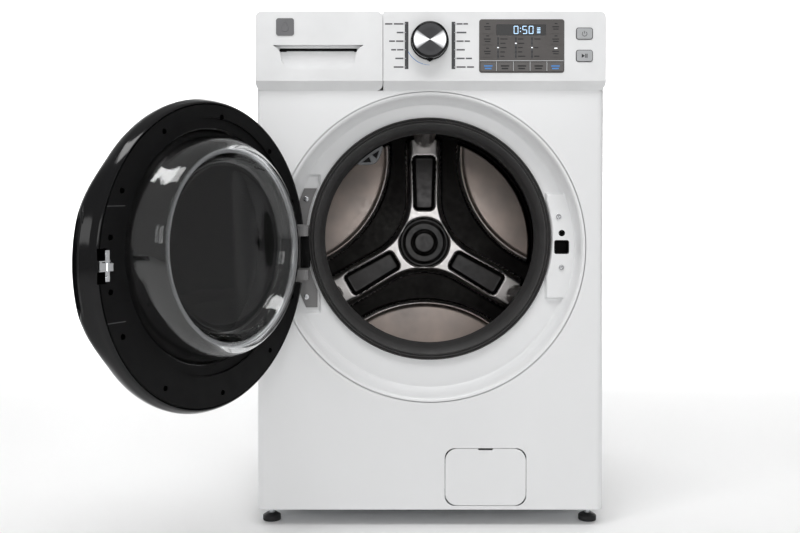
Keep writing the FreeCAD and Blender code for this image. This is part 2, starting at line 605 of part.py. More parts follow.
def door_lock():
    """The lock behind the latch pad, hollow where the hook enters."""
    face = RECESS_Y - PAD_RAISE + SHEET
    box = block(246.8, 281.0, face, face + 34.0, 497.0, 629.0)
    box = box.cut(rod(0, face - 10, SEAL_Z, SEAL_R + 5.0, 80))
    slot = block(HOOK_HOLE_X - 13, HOOK_HOLE_X + 13, face - 1, face + 28.0, HOOK_HOLE_Z - 12,
                 HOOK_HOLE_Z + 12)
    catch = rod(246.0, face + 5.0, HOOK_HOLE_Z - 12, 3.0, 24, (0, 0, 1))
    box = box.cut(slot).cut(rod(265.0, face - 1, 582.0, 4.0, 10))
    for x, z in screw_points()[2:]:
        box = box.cut(rod(x, face - 1, z, 2.5, 16))
    return box.cut(catch)


# ---------------------------------------------------------------- door

def cover_profile():
    """The outer skin of the door from its rim to the window, as (radius, y)."""
    heights = [(264, 0), (268, 4), (271, 11), (272, 19), (271, 27), (267.5, 36), (262, 44),
               (254, 51.5), (244, 58), (232, 63), (216, 66.5), (196, 68)]
    return [(r, ring_y(h)) for r, h in heights]


def hinge_notch(front, x_edge):
    """The space around the lugs that the door leaves free."""
    return block(-320, x_edge, ring_y(front), RING_Y + 5, 488.0, 602.0)


def door_cover():
    """The hollow outer cover with a grip on the side away from the hinge."""
    shell = spin(ribbon(cover_profile(), -3.0), DOOR_Z)
    grip = spin([(266, ring_y(18)), (273, ring_y(24)), (276.5, ring_y(34)), (276.5, ring_y(50)),
                 (272, ring_y(58)), (262, ring_y(61)), (240, ring_y(60)), (248, ring_y(44)),
                 (252, ring_y(18))], DOOR_Z, -17.0, 34.0)
    fingers = spin([(262, ring_y(24)), (280, ring_y(24)), (280, ring_y(38)), (262, ring_y(38))],
                   DOOR_Z, -13.0, 26.0)
    hook_pocket = block(HOOK_X - 8, HOOK_X + 5, RING_Y - 6, RING_Y + 1, HOOK_Z - 10, HOOK_Z + 10)
    cover = shell.fuse(grip).cut(hinge_notch(42.0, -239.0)).cut(fingers).cut(hook_pocket)
    return opened(cover.removeSplitter())


def door_ring():
    """The inner frame: a plate with a stepped opening for the bowl, bosses and the knuckle."""
    body = rod(0, ring_y(14.0), DOOR_Z, RING_R - 2.9, 14.0)
    body = body.cut(rod(0, ring_y(4.0), GLASS_Z, 223.0, 6.0))
    body = body.cut(rod(0, ring_y(20.0), GLASS_Z, GLASS_R, 30.0))
    groove = ring(254.0, 229.0, ring_y(15.0), ring_y(4.0), DOOR_Z)
    groove = groove.cut(rod(0, ring_y(20), GLASS_Z, 227.0, 30))
    bosses = [rod(x, ring_y(14.0), z, 6.5, 14.0)
              for x, z in [polar(242.0, a, DOOR_Z) for a in SCREW_ANGLES]]
    for boss in bosses:
        groove = groove.cut(boss)
    body = body.cut(groove)
    body = body.cut(rod(0, ring_y(15.0), GLASS_Z, 214.5, 7.5))
    for x, z in [polar(242.0, a, DOOR_Z) for a in SCREW_ANGLES]:
        body = body.cut(rod(x, ring_y(2.0), z, 5.0, 3.0)).cut(rod(x, ring_y(16.0), z, 2.2, 20.0))
    body = body.cut(block(HOOK_X - 8, RING_R + 5, RING_Y - 8, RING_Y + 1, HOOK_Z - 14, HOOK_Z + 14))
    low, high = LUG_Z[0] + LUG_H / 2 + 0.6, LUG_Z[1] - LUG_H / 2 - 0.6
    body = body.cut(hinge_notch(14.5, -236.0))
    arm = plan([(PIN_X - 4, PIN_Y + 8.4), (PIN_X + 6, PIN_Y + 11), (-236, RING_Y - 2), (-228, RING_Y - 2),
                (-228, ring_y(13)), (-240, ring_y(13)), (PIN_X + 9, PIN_Y - 2), (PIN_X, PIN_Y)], low, high)
    knuckle = rod(PIN_X, PIN_Y, low, 9.4, high - low, (0, 0, 1))
    body = join([body, arm, knuckle])
    bore = rod(PIN_X, PIN_Y, low - 5, PIN_R + 0.05, high - low + 10, (0, 0, 1))
    return opened(body.cut(bore))


def door_trim():
    """The bright ring round the window."""
    return opened(spin([(195.5, ring_y(62.0)), (195.5, ring_y(69.5)), (192, ring_y(71.0)), (187, ring_y(70.0)),
                        (184.6, ring_y(67.0)), (184.6, ring_y(62.0))], DOOR_Z))


def door_window():
    """The shallow outer window."""
    outer = [(184.0, ring_y(66.0)), (150, ring_y(68.5)), (100, ring_y(71.2)), (50, ring_y(73.0)),
             (0, ring_y(73.0))]
    pane = spin(ribbon(outer, -3.5), DOOR_Z)
    return opened(pane)


def bowl_volume(inset):
    """The solid outline of the glass bowl, its end slanted so that it reaches furthest below."""
    wall = [(GLASS_R - 2.5 - inset, ring_y(12.0)), (GLASS_R - 2.5 - inset, ring_y(5.0)),
            (GLASS_R - 8 - inset, ring_y(-4)), (GLASS_R - 14 - inset, ring_y(-24)),
            (GLASS_R - 19 - inset, ring_y(-42 + inset)), (GLASS_R - 25 - inset, ring_y(-50 + inset)),
            (GLASS_R - 37 - inset, ring_y(-55 + inset)), (0, ring_y(-55 + inset)), (0, ring_y(12.0))]
    bowl = spin(wall, GLASS_Z)
    end = RING_Y + 48.0 - inset
    wedge = Part.Face(Part.makePolygon([vec(-300, end + 8, GLASS_Z - 220), vec(-300, end - 12, GLASS_Z + 220),
                                        vec(-300, end + 90, GLASS_Z + 220), vec(-300, end + 90, GLASS_Z - 220),
                                        vec(-300, end + 8, GLASS_Z - 220)]))
    return bowl.cut(wedge.extrude(vec(600, 0, 0)))


def door_glass():
    flange = ring(213.5, GLASS_R - 5.0, ring_y(12.0), ring_y(7.5), GLASS_Z)
    bowl = bowl_volume(0.0).cut(bowl_volume(4.5))
    return opened(flange.fuse(bowl).removeSplitter())


def door_screws():
    screws = []
    for x, z in [polar(242.0, a, DOOR_Z) for a in SCREW_ANGLES]:
        head = rod(x, ring_y(2.0), z, 4.6, 1.8)
        screws.append(head.fuse(rod(x, ring_y(12.0), z, 2.2, 10.5)).removeSplitter())
    return opened(Part.makeCompound(screws))


def hook_bracket():
    """The bright bracket on the door's inner face that carries the hook."""
    x0, x1 = HOOK_X - 17.0, HOOK_X - 8.3
    plate = block(x0, x1, RING_Y, RING_Y + 1.6, HOOK_Z - 24, HOOK_Z + 24)
    cheeks = [block(x0, HOOK_X + 4.0, RING_Y - 5.0, RING_Y + 3.6, z, z + 1.6)
              for z in (HOOK_Z - 8.2, HOOK_Z + 6.6)]
    feet = [block(x0, x1, RING_Y, RING_Y + 1.6, HOOK_Z - 9, HOOK_Z + 9)]
    bracket = join([plate] + feet)
    for cheek in cheeks:
        bracket = bracket.fuse(cheek.cut(block(x0 - 1, HOOK_X - 8, RING_Y - 9, RING_Y, 0, TOP_Z)))
    pin = rod(HOOK_X, HOOK_PIN_Y, HOOK_Z - 8.2, HOOK_PIN_R, 16.4, (0, 0, 1))
    heads = [rod(HOOK_X - 12.6, RING_Y + 1.6, z, 3.4, 1.4) for z in (HOOK_Z - 18, HOOK_Z + 18)]
    return opened(join([bracket, pin] + heads))


def door_hook():
    """The latch hook, free to tip a little on its pin."""
    y = HOOK_PIN_Y
    outline = [(HOOK_X - 3.5, y - 5), (HOOK_X + 3.5, y - 5), (HOOK_X + 4.5, y + 14), (HOOK_X + 3.5, y + 22),
               (HOOK_X, y + 26), (HOOK_X - 5.2, y + 19), (HOOK_X - 5.2, y + 16.5), (HOOK_X - 1.0, y + 15),
               (HOOK_X - 3.5, y + 6)]
    hook = plan(outline, HOOK_Z - 5.8, HOOK_Z + 5.8)
    return opened(hook.cut(rod(HOOK_X, y, HOOK_Z - 10, HOOK_PIN_R + 0.05, 20, (0, 0, 1))))


# ---------------------------------------------------------------- drum and tub

def drum_shell():
    """The basket wall with its rolled front lip."""
    path = [(232.5, 76), (229.5, 72), (229, 67), (232, 63), (238, DRUM_FRONT), (256, 66), (267, 74),
            (DRUM_R, 88), (DRUM_R, DRUM_BACK)]
    return tilted(spin(ribbon(path, 1.2)))


def drum_back():
    """The pressed back wall with a raised centre and three broad ribs."""
    wall_y = DRUM_BACK - 1.2
    edge = DRUM_R - 1.2
    disc = [(0, wall_y - 22), (30, wall_y - 21), (52, wall_y - 14), (66, wall_y - 3), (78, wall_y),
            (edge, wall_y), (edge, DRUM_BACK), (0, DRUM_BACK)]
    body = spin(disc)
    rib = slab([(-20, 55), (20, 55), (34, 150), (46, 236), (30, 250), (-30, 250), (-46, 236), (-34, 150)],
               wall_y - 9, wall_y + 0.5)
    return tilted(join([body] + around(rib, (60, 180, 300))))


def drum_lifters():
    """Three hollow vanes along the wall, one of them at the top."""
    outline = [(-31, 276), (31, 276), (22, 252), (11, 230), (-11, 230), (-22, 252)]
    vane = slab(outline, 108, DRUM_BACK - 24)
    core = [(x * 0.86, z * (1.0 if z > 270 else 1.012)) for x, z in outline]
    vane = vane.cut(slab(core, 111, DRUM_BACK - 27))
    vane = vane.common(rod(0, 0, 0, DRUM_R - 1.2, 500))
    return tilted(Part.makeCompound(around(vane, (0, 120, 240))))


def drum_spider():
    """Three arms behind the drum on the shaft that runs in the tub's bearings."""
    hub = Part.makeCone(52.0, 34.0, 30.0, vec(0, DRUM_BACK, 0), vec(0, 1, 0))
    arm = slab([(-22, 30), (22, 30), (13, 262), (-13, 262)], DRUM_BACK, DRUM_BACK + 17)
    shaft = rod(0, DRUM_BACK + 20, 0, SHAFT_R, 92.0)
    thread = rod(0, DRUM_BACK + 112, 0, 9.0, 16.0)
    return tilted(join([hub, shaft, thread] + around(arm, (0, 120, 240))))


def motor_rotor():
    """The cup-shaped rotor on the end of the shaft."""
    back = DRUM_BACK + 112
    cup = spin([(9.0, back), (136, back), (136, back - 36), (132, back - 36), (132, back - 4),
                (SHAFT_R + 12, back - 4), (SHAFT_R + 12, back - 10), (SHAFT_R, back - 10), (SHAFT_R, back)])
    for vent in around(rod(85.0, back - 10, 0, 14.0, 20), range(15, 375, 30)):
        cup = cup.cut(vent)
    nut = ring(16.0, 9.0, back, back + 8)
    return tilted(cup.fuse(nut).removeSplitter())


def motor_stator():
    """A ring core with 24 wound poles, fixed to the tub's rear boss."""
    front = TUB_BACK + 39.0
    core = ring(78.0, 47.0, front, front + 22)
    pole = block(-5.0, 5.0, front + 2, front + 20, 70.0, 128.0)
    return tilted(join([core] + around(pole, range(0, 360, 15))))


def tub_front():
    """The front half of the tub with the neck that carries the seal."""
    wall = TUB_R + TUB_WALL
    pieces = [ring(230, 226, TUB_FRONT - 16, TUB_FRONT + 5), ring(wall, 226, TUB_FRONT, TUB_FRONT + 5),
              ring(wall, TUB_R, TUB_FRONT, TUB_SPLIT), ring(300, TUB_R, TUB_SPLIT - 7, TUB_SPLIT)]
    return tilted(join(pieces))


def sump(inset):
    """The trough under the tub that holds the heater."""
    return block(-112 + inset, 112 - inset, 226 + inset, 434 - inset, -322 + inset, -255)


def spring_lug(side):
    return plan([(side * 225, -12), (side * 330, -12), (side * 330, 12), (side * 225, 12)], 688.0, 694.0)


def tub_rear():
    """The rear half: wall, ribbed back, bearing hub, motor boss, sump, and suspension lugs."""
    wall = TUB_R + TUB_WALL
    pieces = [ring(wall, TUB_R, TUB_SPLIT, TUB_BACK + 5), ring(300, TUB_R, TUB_SPLIT, TUB_SPLIT + 7),
              ring(wall, 26, TUB_BACK, TUB_BACK + 5), ring(46, 26, TUB_BACK - 4, TUB_BACK + 50),
              ring(60, 45, TUB_BACK, TUB_BACK + 39), sump(0.0)]
    rib = block(-2, 2, TUB_BACK + 4, TUB_BACK + 22, 58, 286)
    pieces += around(rib, range(15, 375, 30))
    body = tilted(join(pieces))
    bore = rod(0, 0, 0, TUB_R, TUB_BACK)
    lugs = [spring_lug(-1), spring_lug(1)]
    lugs += [block(x - 16, x + 16, 4, 36, 300.0, 370.0) for x in (-200.0, 200.0)]
    body = join([body] + lugs)
    body = body.cut(tilted(bore)).cut(tilted(sump(4.0)))
    return body.cut(tilted(rod(0, 330, -330, 22.0, 20, (0, 0, 1))))


def tub_bearings():
    """Two ball bearings, each drawn as one ring."""
    bearings = [ring(26.0, SHAFT_R + BEARING_CLEARANCE, start, start + 15)
                for start in (TUB_BACK + 2, TUB_BACK + 31)]
    return tilted(Part.makeCompound(bearings))


def counterweights():
    """Two cast blocks: an arch on the tub's front face and a saddle under its front edge."""
    arch = spin([(240, 16), (294, 16), (294, TUB_FRONT), (240, TUB_FRONT)], 0.0, 38.0, 104.0)
    saddle = block(-150, 150, TUB_FRONT + 6, TUB_SPLIT - 10, -338, -240)
    saddle = saddle.cut(rod(0, 0, 0, TUB_R + TUB_WALL, 400))
    return tilted(Part.makeCompound([arch, saddle]))


def suspension_springs():
    """Two coil springs that hang the tub from the side panels."""
    springs = []
    for x in (-316.0, 316.0):
        low, high = 694.0, 938.0
        coil = Part.makeHelix(16.0, high - low - 36, 9.0)
        section = Part.Wire(Part.makeCircle(1.8, vec(9.0, 0, 0), vec(0, 1, 0)))
        coil = Part.Wire(coil.Edges).makePipeShell([section], True, True)
        coil.translate(vec(x, 0, low + 18))
        end = rod(x, 0, low, 12.0, 22.0, (0, 0, 1))
        cap = rod(x, 0, high - 22.0, 12.0, 22.0, (0, 0, 1))
        springs.append(coil.multiFuse([end, cap]))
    return Part.makeCompound(springs)


def dampers():
    """Two friction struts between the tub's lower lugs and the base frame."""
    struts = []
    for x in (-200.0, 200.0):
        sleeve = rod(x, 20, BODY_Z + 4, 17.0, 150.0, (0, 0, 1))
        struts.append(sleeve.fuse(rod(x, 20, BODY_Z + 100, 8.0, 200.0 - 38.0, (0, 0, 1)))
                      .fuse(rod(x, 20, 288.0, 13.0, 12.0, (0, 0, 1))).removeSplitter())
    return Part.makeCompound(struts)


def heater():
    """The looped heating element lying in the sump."""
    z = -296.0
    legs = [rod(x, 240, z, 4.0, 188.0) for x in (-36.0, 36.0)]
    bend = rod(-36.0, 242.0, z, 4.0, 72.0, (1, 0, 0))
    plug = block(-50, 50, 428.0, 430.0, z - 12, z + 12)
    corners = [Part.makeSphere(4.0, vec(x, 242.0, z)) for x in (-36.0, 36.0)]
    return tilted(join(legs + [bend, plug] + corners))


# ---------------------------------------------------------------- water path

def drain_pump():
    """The pump body with the filter chamber that opens behind the service cover."""
    chamber = tube(FILTER_X, FRONT_Y + 22, FILTER_Z, 40.0, 34.05, 128.0)
    motor = rod(FILTER_X, FRONT_Y + 150, FILTER_Z, 44.0, 70.0)
    inlet = rod(FILTER_X - 70, FRONT_Y + 125, FILTER_Z + 12, 18.0, 45.0, (1, 0, 0))
    outlet = rod(FILTER_X + 20, FRONT_Y + 125, FILTER_Z + 30, 13.0, 40.0, (0, 0, 1))
    foot = block(FILTER_X - 34, FILTER_X + 34, FRONT_Y + 60, FRONT_Y + 200, BODY_Z + 4, FILTER_Z - 25)
    body = join([chamber, motor, inlet, outlet, foot])
    body = body.cut(rod(FILTER_X, FRONT_Y + 20, FILTER_Z, 34.05, 128.0))
    body = body.cut(rod(FILTER_X - 71, FRONT_Y + 125, FILTER_Z + 12, 14.0, 50.0, (1, 0, 0)))
    return body.cut(rod(FILTER_X + 20, FRONT_Y + 125, FILTER_Z + 20, 10.0, 60.0, (0, 0, 1)))


def filter_cap():
    """The screw-in filter with a grip bar across its face."""
    face = FRONT_Y + 20
    flange = rod(FILTER_X, face - 4, FILTER_Z, 39.0, 5.7)
    plug = rod(FILTER_X, face, FILTER_Z, 34.0, 32.0)
    bar = block(FILTER_X - 4.5, FILTER_X + 4.5, face - 14, face - 3, FILTER_Z - 30, FILTER_Z + 30)
    cage = tube(FILTER_X, face + 30, FILTER_Z, 30.0, 26.0, 62.0)
    slots = [block(FILTER_X - 40, FILTER_X + 40, face + y, face + y + 8, FILTER_Z - 5, FILTER_Z + 5)
             for y in (40, 58, 76)]
    for slot in slots:
        cage = cage.cut(slot)
    return join([flange, plug, bar, cage])


def filter_cover():
    """The flap over the filter, hinged along its lower edge, with a notch to lift it by."""
    plate = round_plate(COVER_X0, COVER_X1, COVER_Z0, COVER_Z1, COVER_R, FRONT_Y, FRONT_Y + 2.6)
    middle = (COVER_X0 + COVER_X1) / 2
    plate = plate.cut(block(middle - 14.3, middle + 14.3, FRONT_Y - 1, FRONT_Y + 5,
                            COVER_Z1 - 3, COVER_Z1 + 1))
    clips = [block(x - 6, x + 6, FRONT_Y + 2.6, FRONT_Y + 8, COVER_Z1 - 26, COVER_Z1 - 22)
             for x in (COVER_X0 + 26, COVER_X1 - 26)]
    pins = []
    for x in (middle - 40, middle + 40):
        plate = plate.cut(block(x - 7, x + 7, FRONT_Y + 0.6, FRONT_Y + 5, COVER_Z0 - 1, FLAP_PIN_Z + 2))
        pins.append(rod(x - 8, FLAP_PIN_Y, FLAP_PIN_Z, FLAP_PIN_R, 16, (1, 0, 0)))
    return join([plate] + clips + pins)


def drain_hoses():
    """The short hose from the sump to the pump, and the long one up to the rear spigot."""
    top = tilted_point(0, 330, -322)
    pump_in = (FILTER_X - 70, FRONT_Y + 125, FILTER_Z + 12)
    short = hose([top, (0, top[1], 190.0), (0, pump_in[1], pump_in[2]), pump_in], 18.0, 14.0)
    short = short.cut(tilted(block(-60, 60, 280, 380, -322, -200)))
    up = (FILTER_X + 20, FRONT_Y + 125, FILTER_Z + 70)
    long = hose([up, (130.0, -242.5, 200.0), (130.0, 310.0, 230.0), (SPIGOT_X, 325.0, 260.0),
                 (SPIGOT_X, 325.0, SPIGOT_Z), (SPIGOT_X, BACK_Y - 3.0, SPIGOT_Z)], 12.0, 8.5)
    neck = tube(SPIGOT_X, BACK_Y - 4.0, SPIGOT_Z, SPIGOT_R - 0.8, 8.5, 8.0)
    spigot = tube(SPIGOT_X, BACK_Y + 3.0, SPIGOT_Z, SPIGOT_R, 8.5, 24.0)
    return Part.makeCompound([short, join([long, neck, spigot])])


def tilted_point(x, y, z):
    """World coordinates of a point given about the tub's axis."""
    turn = math.radians(TILT)
    return (x, AXIS_Y + y * math.cos(turn) + z * math.sin(turn),
            AXIS_Z - y * math.sin(turn) + z * math.cos(turn))


def inlet_valves():
    """Two solenoid valves whose threaded inlets pass through the rear panel."""
    valves = []
    for x in INLET_X:
        body = block(x - 20, x + 20, BACK_Y - 55, BACK_Y - SHEET, INLET_Z - 20, INLET_Z + 20)
        coil = rod(x, BACK_Y - 40, INLET_Z - 58, 14.0, 40.0, (0, 0, 1))
        neck = rod(x, BACK_Y - 5, INLET_Z, INLET_R - 1.2, 10.0)
        thread = rod(x, BACK_Y + 2.0, INLET_Z, INLET_R, 12.5)
        valve = join([body, coil, neck, thread])
        valves.append(valve.cut(rod(x, BACK_Y - 45, INLET_Z, 8.0, 70.0)))
    return Part.makeCompound(valves)


def shipping_plugs():
    plugs = []
    for x in (-SHIPPING_X, SHIPPING_X):
        for z in SHIPPING_Z:
            cap = rod(x, BACK_Y, z, 16.0, 2.0)
            plugs.append(cap.fuse(rod(x, BACK_Y - 9, z, SHIPPING_R - 0.3, 9.0)).removeSplitter())
    return Part.makeCompound(plugs)


def parts():
    """Every node's name and shape."""
    shapes = {
        "front_panel": front_panel(),
        "side_panel_left": side_panel(-1),
        "side_panel_right": side_panel(1),
        "top_panel": top_panel(),
        "rear_panel": rear_panel(),
        "rear_access_cover": rear_access_cover(),
        "base_frame": base_frame(),
        "foot_studs": foot_studs(),
        "foot_pads": foot_pads(),
        "panel_screws": panel_screws(),
        "console_fascia": console_fascia(),
        "display_panel": display_panel(),
        "display_window": display_window(),
        "indicator_bars": indicator_bars(),
        "control_module": control_module(),
        "dispenser_housing": dispenser_housing(),
        "drawer_front": drawer_front(),
        "drawer_tray": drawer_tray(),
        "badge": badge(),
        "knob": knob(),
        "power_button": press_button(POWER_Z),
        "start_button": press_button(START_Z),
        "door_seal": door_seal(),
        "seal_clamp": seal_clamp(),
        "spray_nozzle": spray_nozzle(),
        "hinge_plate": hinge_plate(),
        "hinge_pin": hinge_pin(),
        "door_lock": door_lock(),
        "door_cover": door_cover(),
        "door_ring": door_ring(),
        "door_trim": door_trim(),
        "door_window": door_window(),
        "door_glass": door_glass(),
        "door_screws": door_screws(),
        "hook_bracket": hook_bracket(),
        "door_hook": door_hook(),
        "drum_shell": drum_shell(),
        "drum_back": drum_back(),
        "drum_lifters": drum_lifters(),
        "drum_spider": drum_spider(),
        "motor_rotor": motor_rotor(),
        "motor_stator": motor_stator(),
        "tub_front": tub_front(),
        "tub_rear": tub_rear(),
        "tub_bearings": tub_bearings(),
        "counterweights": counterweights(),
        "suspension_springs": suspension_springs(),
        "dampers": dampers(),
        "heater": heater(),
        "drain_pump": drain_pump(),
        "filter_cap": filter_cap(),
        "filter_cover": filter_cover(),
        "drain_hoses": drain_hoses(),
        "inlet_valves": inlet_valves(),
        "shipping_plugs": shipping_plugs(),
    }
    for index in range(KEY_COUNT):
        shapes[f"option_key_{index + 1}"] = option_key(index)
    return shapes


os.makedirs("parts", exist_ok=True)
for name, shape in parts().items():
    shape.exportStep(f"parts/{name}.step")
    box = shape.BoundBox
    print(f"{name}: {len(shape.Solids)} solids, valid {shape.isValid()}, volume {shape.Volume / 1000:.1f} cm3, "
          f"x {box.XMin:.1f}..{box.XMax:.1f} y {box.YMin:.1f}..{box.YMax:.1f} z {box.ZMin:.1f}..{box.ZMax:.1f}")
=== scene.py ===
import json
from contextlib import contextmanager
from math import atan2, copysign, cos, degrees, hypot, pi, radians, sin, sqrt, tan

import bmesh
import bpy
import numpy as np
from mathutils import Matrix, Vector


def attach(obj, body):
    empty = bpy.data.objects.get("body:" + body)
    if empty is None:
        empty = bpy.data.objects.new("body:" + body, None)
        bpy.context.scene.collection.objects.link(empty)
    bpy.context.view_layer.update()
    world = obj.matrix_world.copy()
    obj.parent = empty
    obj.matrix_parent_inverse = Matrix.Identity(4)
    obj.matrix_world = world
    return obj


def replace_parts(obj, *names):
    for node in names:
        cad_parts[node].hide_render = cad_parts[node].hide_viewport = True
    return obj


# Looks of a front load washing machine. Lengths below are millimetres in the CAD model's frame
# and become metres where a mesh is made. The door is drawn closed and swung open about its pin.

MM = 0.001
FRONT_Y = -367.5
CONSOLE_Y = FRONT_Y - 14.0

RECESS_Z, RECESS_DEPTH = 555.0, 42.0
RECESS_Y = FRONT_Y + RECESS_DEPTH
RECESS_FLOOR_R, RECESS_EDGE_R, RECESS_OUTER_R = 281.0, 306.5, 308.5
PAD_X0, PAD_Z0, PAD_Z1, PAD_RISE = 234.0, 450.0, 661.0, 8.0
POCKET_X1, POCKET_Z0, POCKET_Z1, POCKET_DEPTH = -222.0, 422.0, 698.0, 50.0
HOOK_HOLE_X, HOOK_HOLE_HALF_X, HOOK_HOLE_HALF_Z = 264.7, 14.0, 13.0
SWITCH_X, SWITCH_Z, SWITCH_R = 265.0, 582.0, 5.0

SEAL_Z, SEAL_R, SEAL_HOLE_R, THROAT_R = 570.0, 244.0, 236.0, 213.0

DOOR_Z, GLASS_Z, GLASS_R = 555.0, 571.0, 205.0
HOOK_X, HOOK_Z = 259.0, 554.0
RING_Y = FRONT_Y + 30.0

TILT = radians(4.0)
AXIS_Y, AXIS_Z = -325.0, 570.0
DRUM_R, DRUM_FRONT, DRUM_BACK = 272.0, 62.0, 490.0
WALL_R = DRUM_R * 0.9985
ARM_ANGLES = (90, 210, 330)

KNOB_X, KNOB_Z, KNOB_R = -2.0, 959.7, 35.6
KNOB_FRONT = FRONT_Y - 39.0
PANEL_X0, PANEL_X1 = 94.6, 261.0
BUTTON_X, POWER_Z, START_Z = 300.2, 974.0, 930.7
ROWS_Z, ROW_STEP, ROW_COUNT = 951.0, 16.8, 6

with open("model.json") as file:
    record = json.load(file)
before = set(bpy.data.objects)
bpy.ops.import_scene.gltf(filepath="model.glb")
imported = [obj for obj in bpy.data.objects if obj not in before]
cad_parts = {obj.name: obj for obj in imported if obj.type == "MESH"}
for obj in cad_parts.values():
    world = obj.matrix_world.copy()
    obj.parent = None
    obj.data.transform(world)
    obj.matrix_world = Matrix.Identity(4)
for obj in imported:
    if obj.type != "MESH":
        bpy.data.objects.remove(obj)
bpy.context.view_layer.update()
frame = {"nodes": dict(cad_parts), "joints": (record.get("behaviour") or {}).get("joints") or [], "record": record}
scene = bpy.context.scene
joints = {joint["name"]: joint for joint in frame["joints"]}


# ---- node materials

class Surface:
    """A Principled material built up from object-space patterns."""

    def __init__(self, name, color, roughness, metallic=0.0, **sockets):
        self.material = bpy.data.materials.new(name)
        self.material.use_nodes = True
        self.nodes = self.material.node_tree.nodes
        self.links = self.material.node_tree.links
        self.shader = self.nodes["Principled BSDF"]
        self.color = color
        self.set("Base Color", (*color, 1.0))
        self.set("Roughness", roughness)
        self.set("Metallic", metallic)
        for socket, value in sockets.items():
            self.set(socket.replace("_", " ").title().replace("Ior", "IOR"), value)
        self.coordinates = self.node("TexCoord").outputs["Object"]
        self.height = None

    def set(self, socket, value):
        self.shader.inputs[socket].default_value = value

    def node(self, kind, **inputs):
        """A new shader node. An input's name is written with _ for a space."""
        node = self.nodes.new("ShaderNode" + kind)
        for name, value in inputs.items():
            node.inputs[name.replace("_", " ")].default_value = value
        return node

    def noise(self, scale, detail=3.0, stretch=(1, 1, 1)):
        mapping = self.node("Mapping", Scale=stretch)
        self.links.new(self.coordinates, mapping.inputs["Vector"])
        texture = self.node("TexNoise", Scale=scale, Detail=detail)
        self.links.new(mapping.outputs["Vector"], texture.inputs["Vector"])
        return texture.outputs["Fac"]

    def cells(self, scale):
        texture = self.node("TexVoronoi", Scale=scale)
        self.links.new(self.coordinates, texture.inputs["Vector"])
        return texture.outputs["Distance"]

    def ranged(self, value, low, high, start=0.3, end=0.7):
        node = self.node("MapRange", From_Min=start, From_Max=end, To_Min=low, To_Max=high)
        self.links.new(value, node.inputs["Value"])
        return node.outputs["Result"]

    def computed(self, operation, *values):
        node = self.node("Math")
        node.operation = operation
        for socket, value in zip(node.inputs, values):
            if isinstance(value, float):
                socket.default_value = value
            else:
                self.links.new(value, socket)
        return node.outputs["Value"]

    def vary_color(self, value, other, start=0.3, end=0.7):
        ramp = self.node("ValToRGB")
        ramp.color_ramp.elements[0].position = start
        ramp.color_ramp.elements[0].color = (*self.color, 1.0)
        ramp.color_ramp.elements[1].position = end
        ramp.color_ramp.elements[1].color = (*other, 1.0)
        self.links.new(value, ramp.inputs["Fac"])
        self.links.new(ramp.outputs["Color"], self.shader.inputs["Base Color"])
        return self

    def vary_roughness(self, value, low, high):
        self.links.new(self.ranged(value, low, high), self.shader.inputs["Roughness"])
        return self

    def bump(self, value, strength, distance=0.0002):
        node = self.node("Bump", Strength=strength, Distance=distance)
        self.links.new(value, node.inputs["Height"])
        if self.height:
            self.links.new(self.height, node.inputs["Normal"])
        self.height = node.outputs["Normal"]
        self.links.new(self.height, self.shader.inputs["Normal"])
        return self


def enamel(name, color):
    """Sprayed and baked paint with faint orange peel."""
    surface = Surface(name, color, 0.31, coat_weight=0.35, coat_roughness=0.12)
    surface.vary_roughness(surface.noise(9.0), 0.29, 0.33)
    return surface.bump(surface.noise(420.0, 1.0), 0.05, 0.0001).material


def moulded(name, color, roughness, grain=900.0, strength=0.08, shine=0.5):
    """Injection-moulded plastic with a fine grain and slight sheen changes."""
    surface = Surface(name, color, roughness, specular_ior_level=shine)
    surface.vary_color(surface.noise(14.0), tuple(c * 0.93 for c in color))
    surface.vary_roughness(surface.noise(30.0), roughness * 0.9, roughness * 1.15)
    return surface.bump(surface.noise(grain, 2.0), strength, 0.0001).material


def rubber(name, color):
    surface = Surface(name, color, 0.55, specular_ior_level=0.25)
    surface.vary_color(surface.noise(18.0, 5.0), tuple(c * 1.25 for c in color))
    surface.vary_roughness(surface.noise(55.0), 0.42, 0.6)
    return surface.bump(surface.noise(700.0, 3.0), 0.12, 0.0001).material


def gloss_black(name):
    surface = Surface(name, (0.0035, 0.0035, 0.004), 0.12, specular_ior_level=0.3)
    surface.vary_roughness(surface.noise(12.0), 0.07, 0.14)
    return surface.bump(surface.noise(60.0, 1.0), 0.03, 0.0001).material


def polished_steel(name, color, other, roughness, stretch=(1, 1, 1)):
    """Rolled stainless sheet with directional grain and a warm cast."""
    surface = Surface(name, color, roughness, metallic=1.0)
    surface.vary_color(surface.noise(9.0, 3.0), other)
    surface.vary_roughness(surface.noise(90.0, 3.0, stretch), roughness * 0.85, roughness * 1.2)
    return surface.bump(surface.noise(260.0, 2.0, stretch), 0.05, 0.0001).material


def galvanised(name):
    surface = Surface(name, (0.52, 0.54, 0.56), 0.42, metallic=0.9)
    surface.vary_color(surface.cells(70.0), (0.66, 0.68, 0.70), 0.1, 0.6)
    return surface.bump(surface.noise(300.0), 0.08, 0.0001).material


def chrome(name):
    surface = Surface(name, (0.82, 0.83, 0.85), 0.08, metallic=1.0)
    return surface.vary_roughness(surface.noise(80.0), 0.05, 0.12).material


def glass(name, color, roughness=0.0, transmission=1.0, ior=1.5):
    surface = Surface(name, color, roughness, ior=ior, transmission_weight=transmission)
    surface.vary_roughness(surface.noise(12.0), roughness + 0.012, roughness + 0.02)
    return surface.material


def cast(name, color):
    surface = Surface(name, color, 0.85)
    surface.vary_color(surface.noise(60.0, 8.0), tuple(c * 0.7 for c in color))
    return surface.bump(surface.noise(220.0, 6.0), 0.5, 0.0008).material


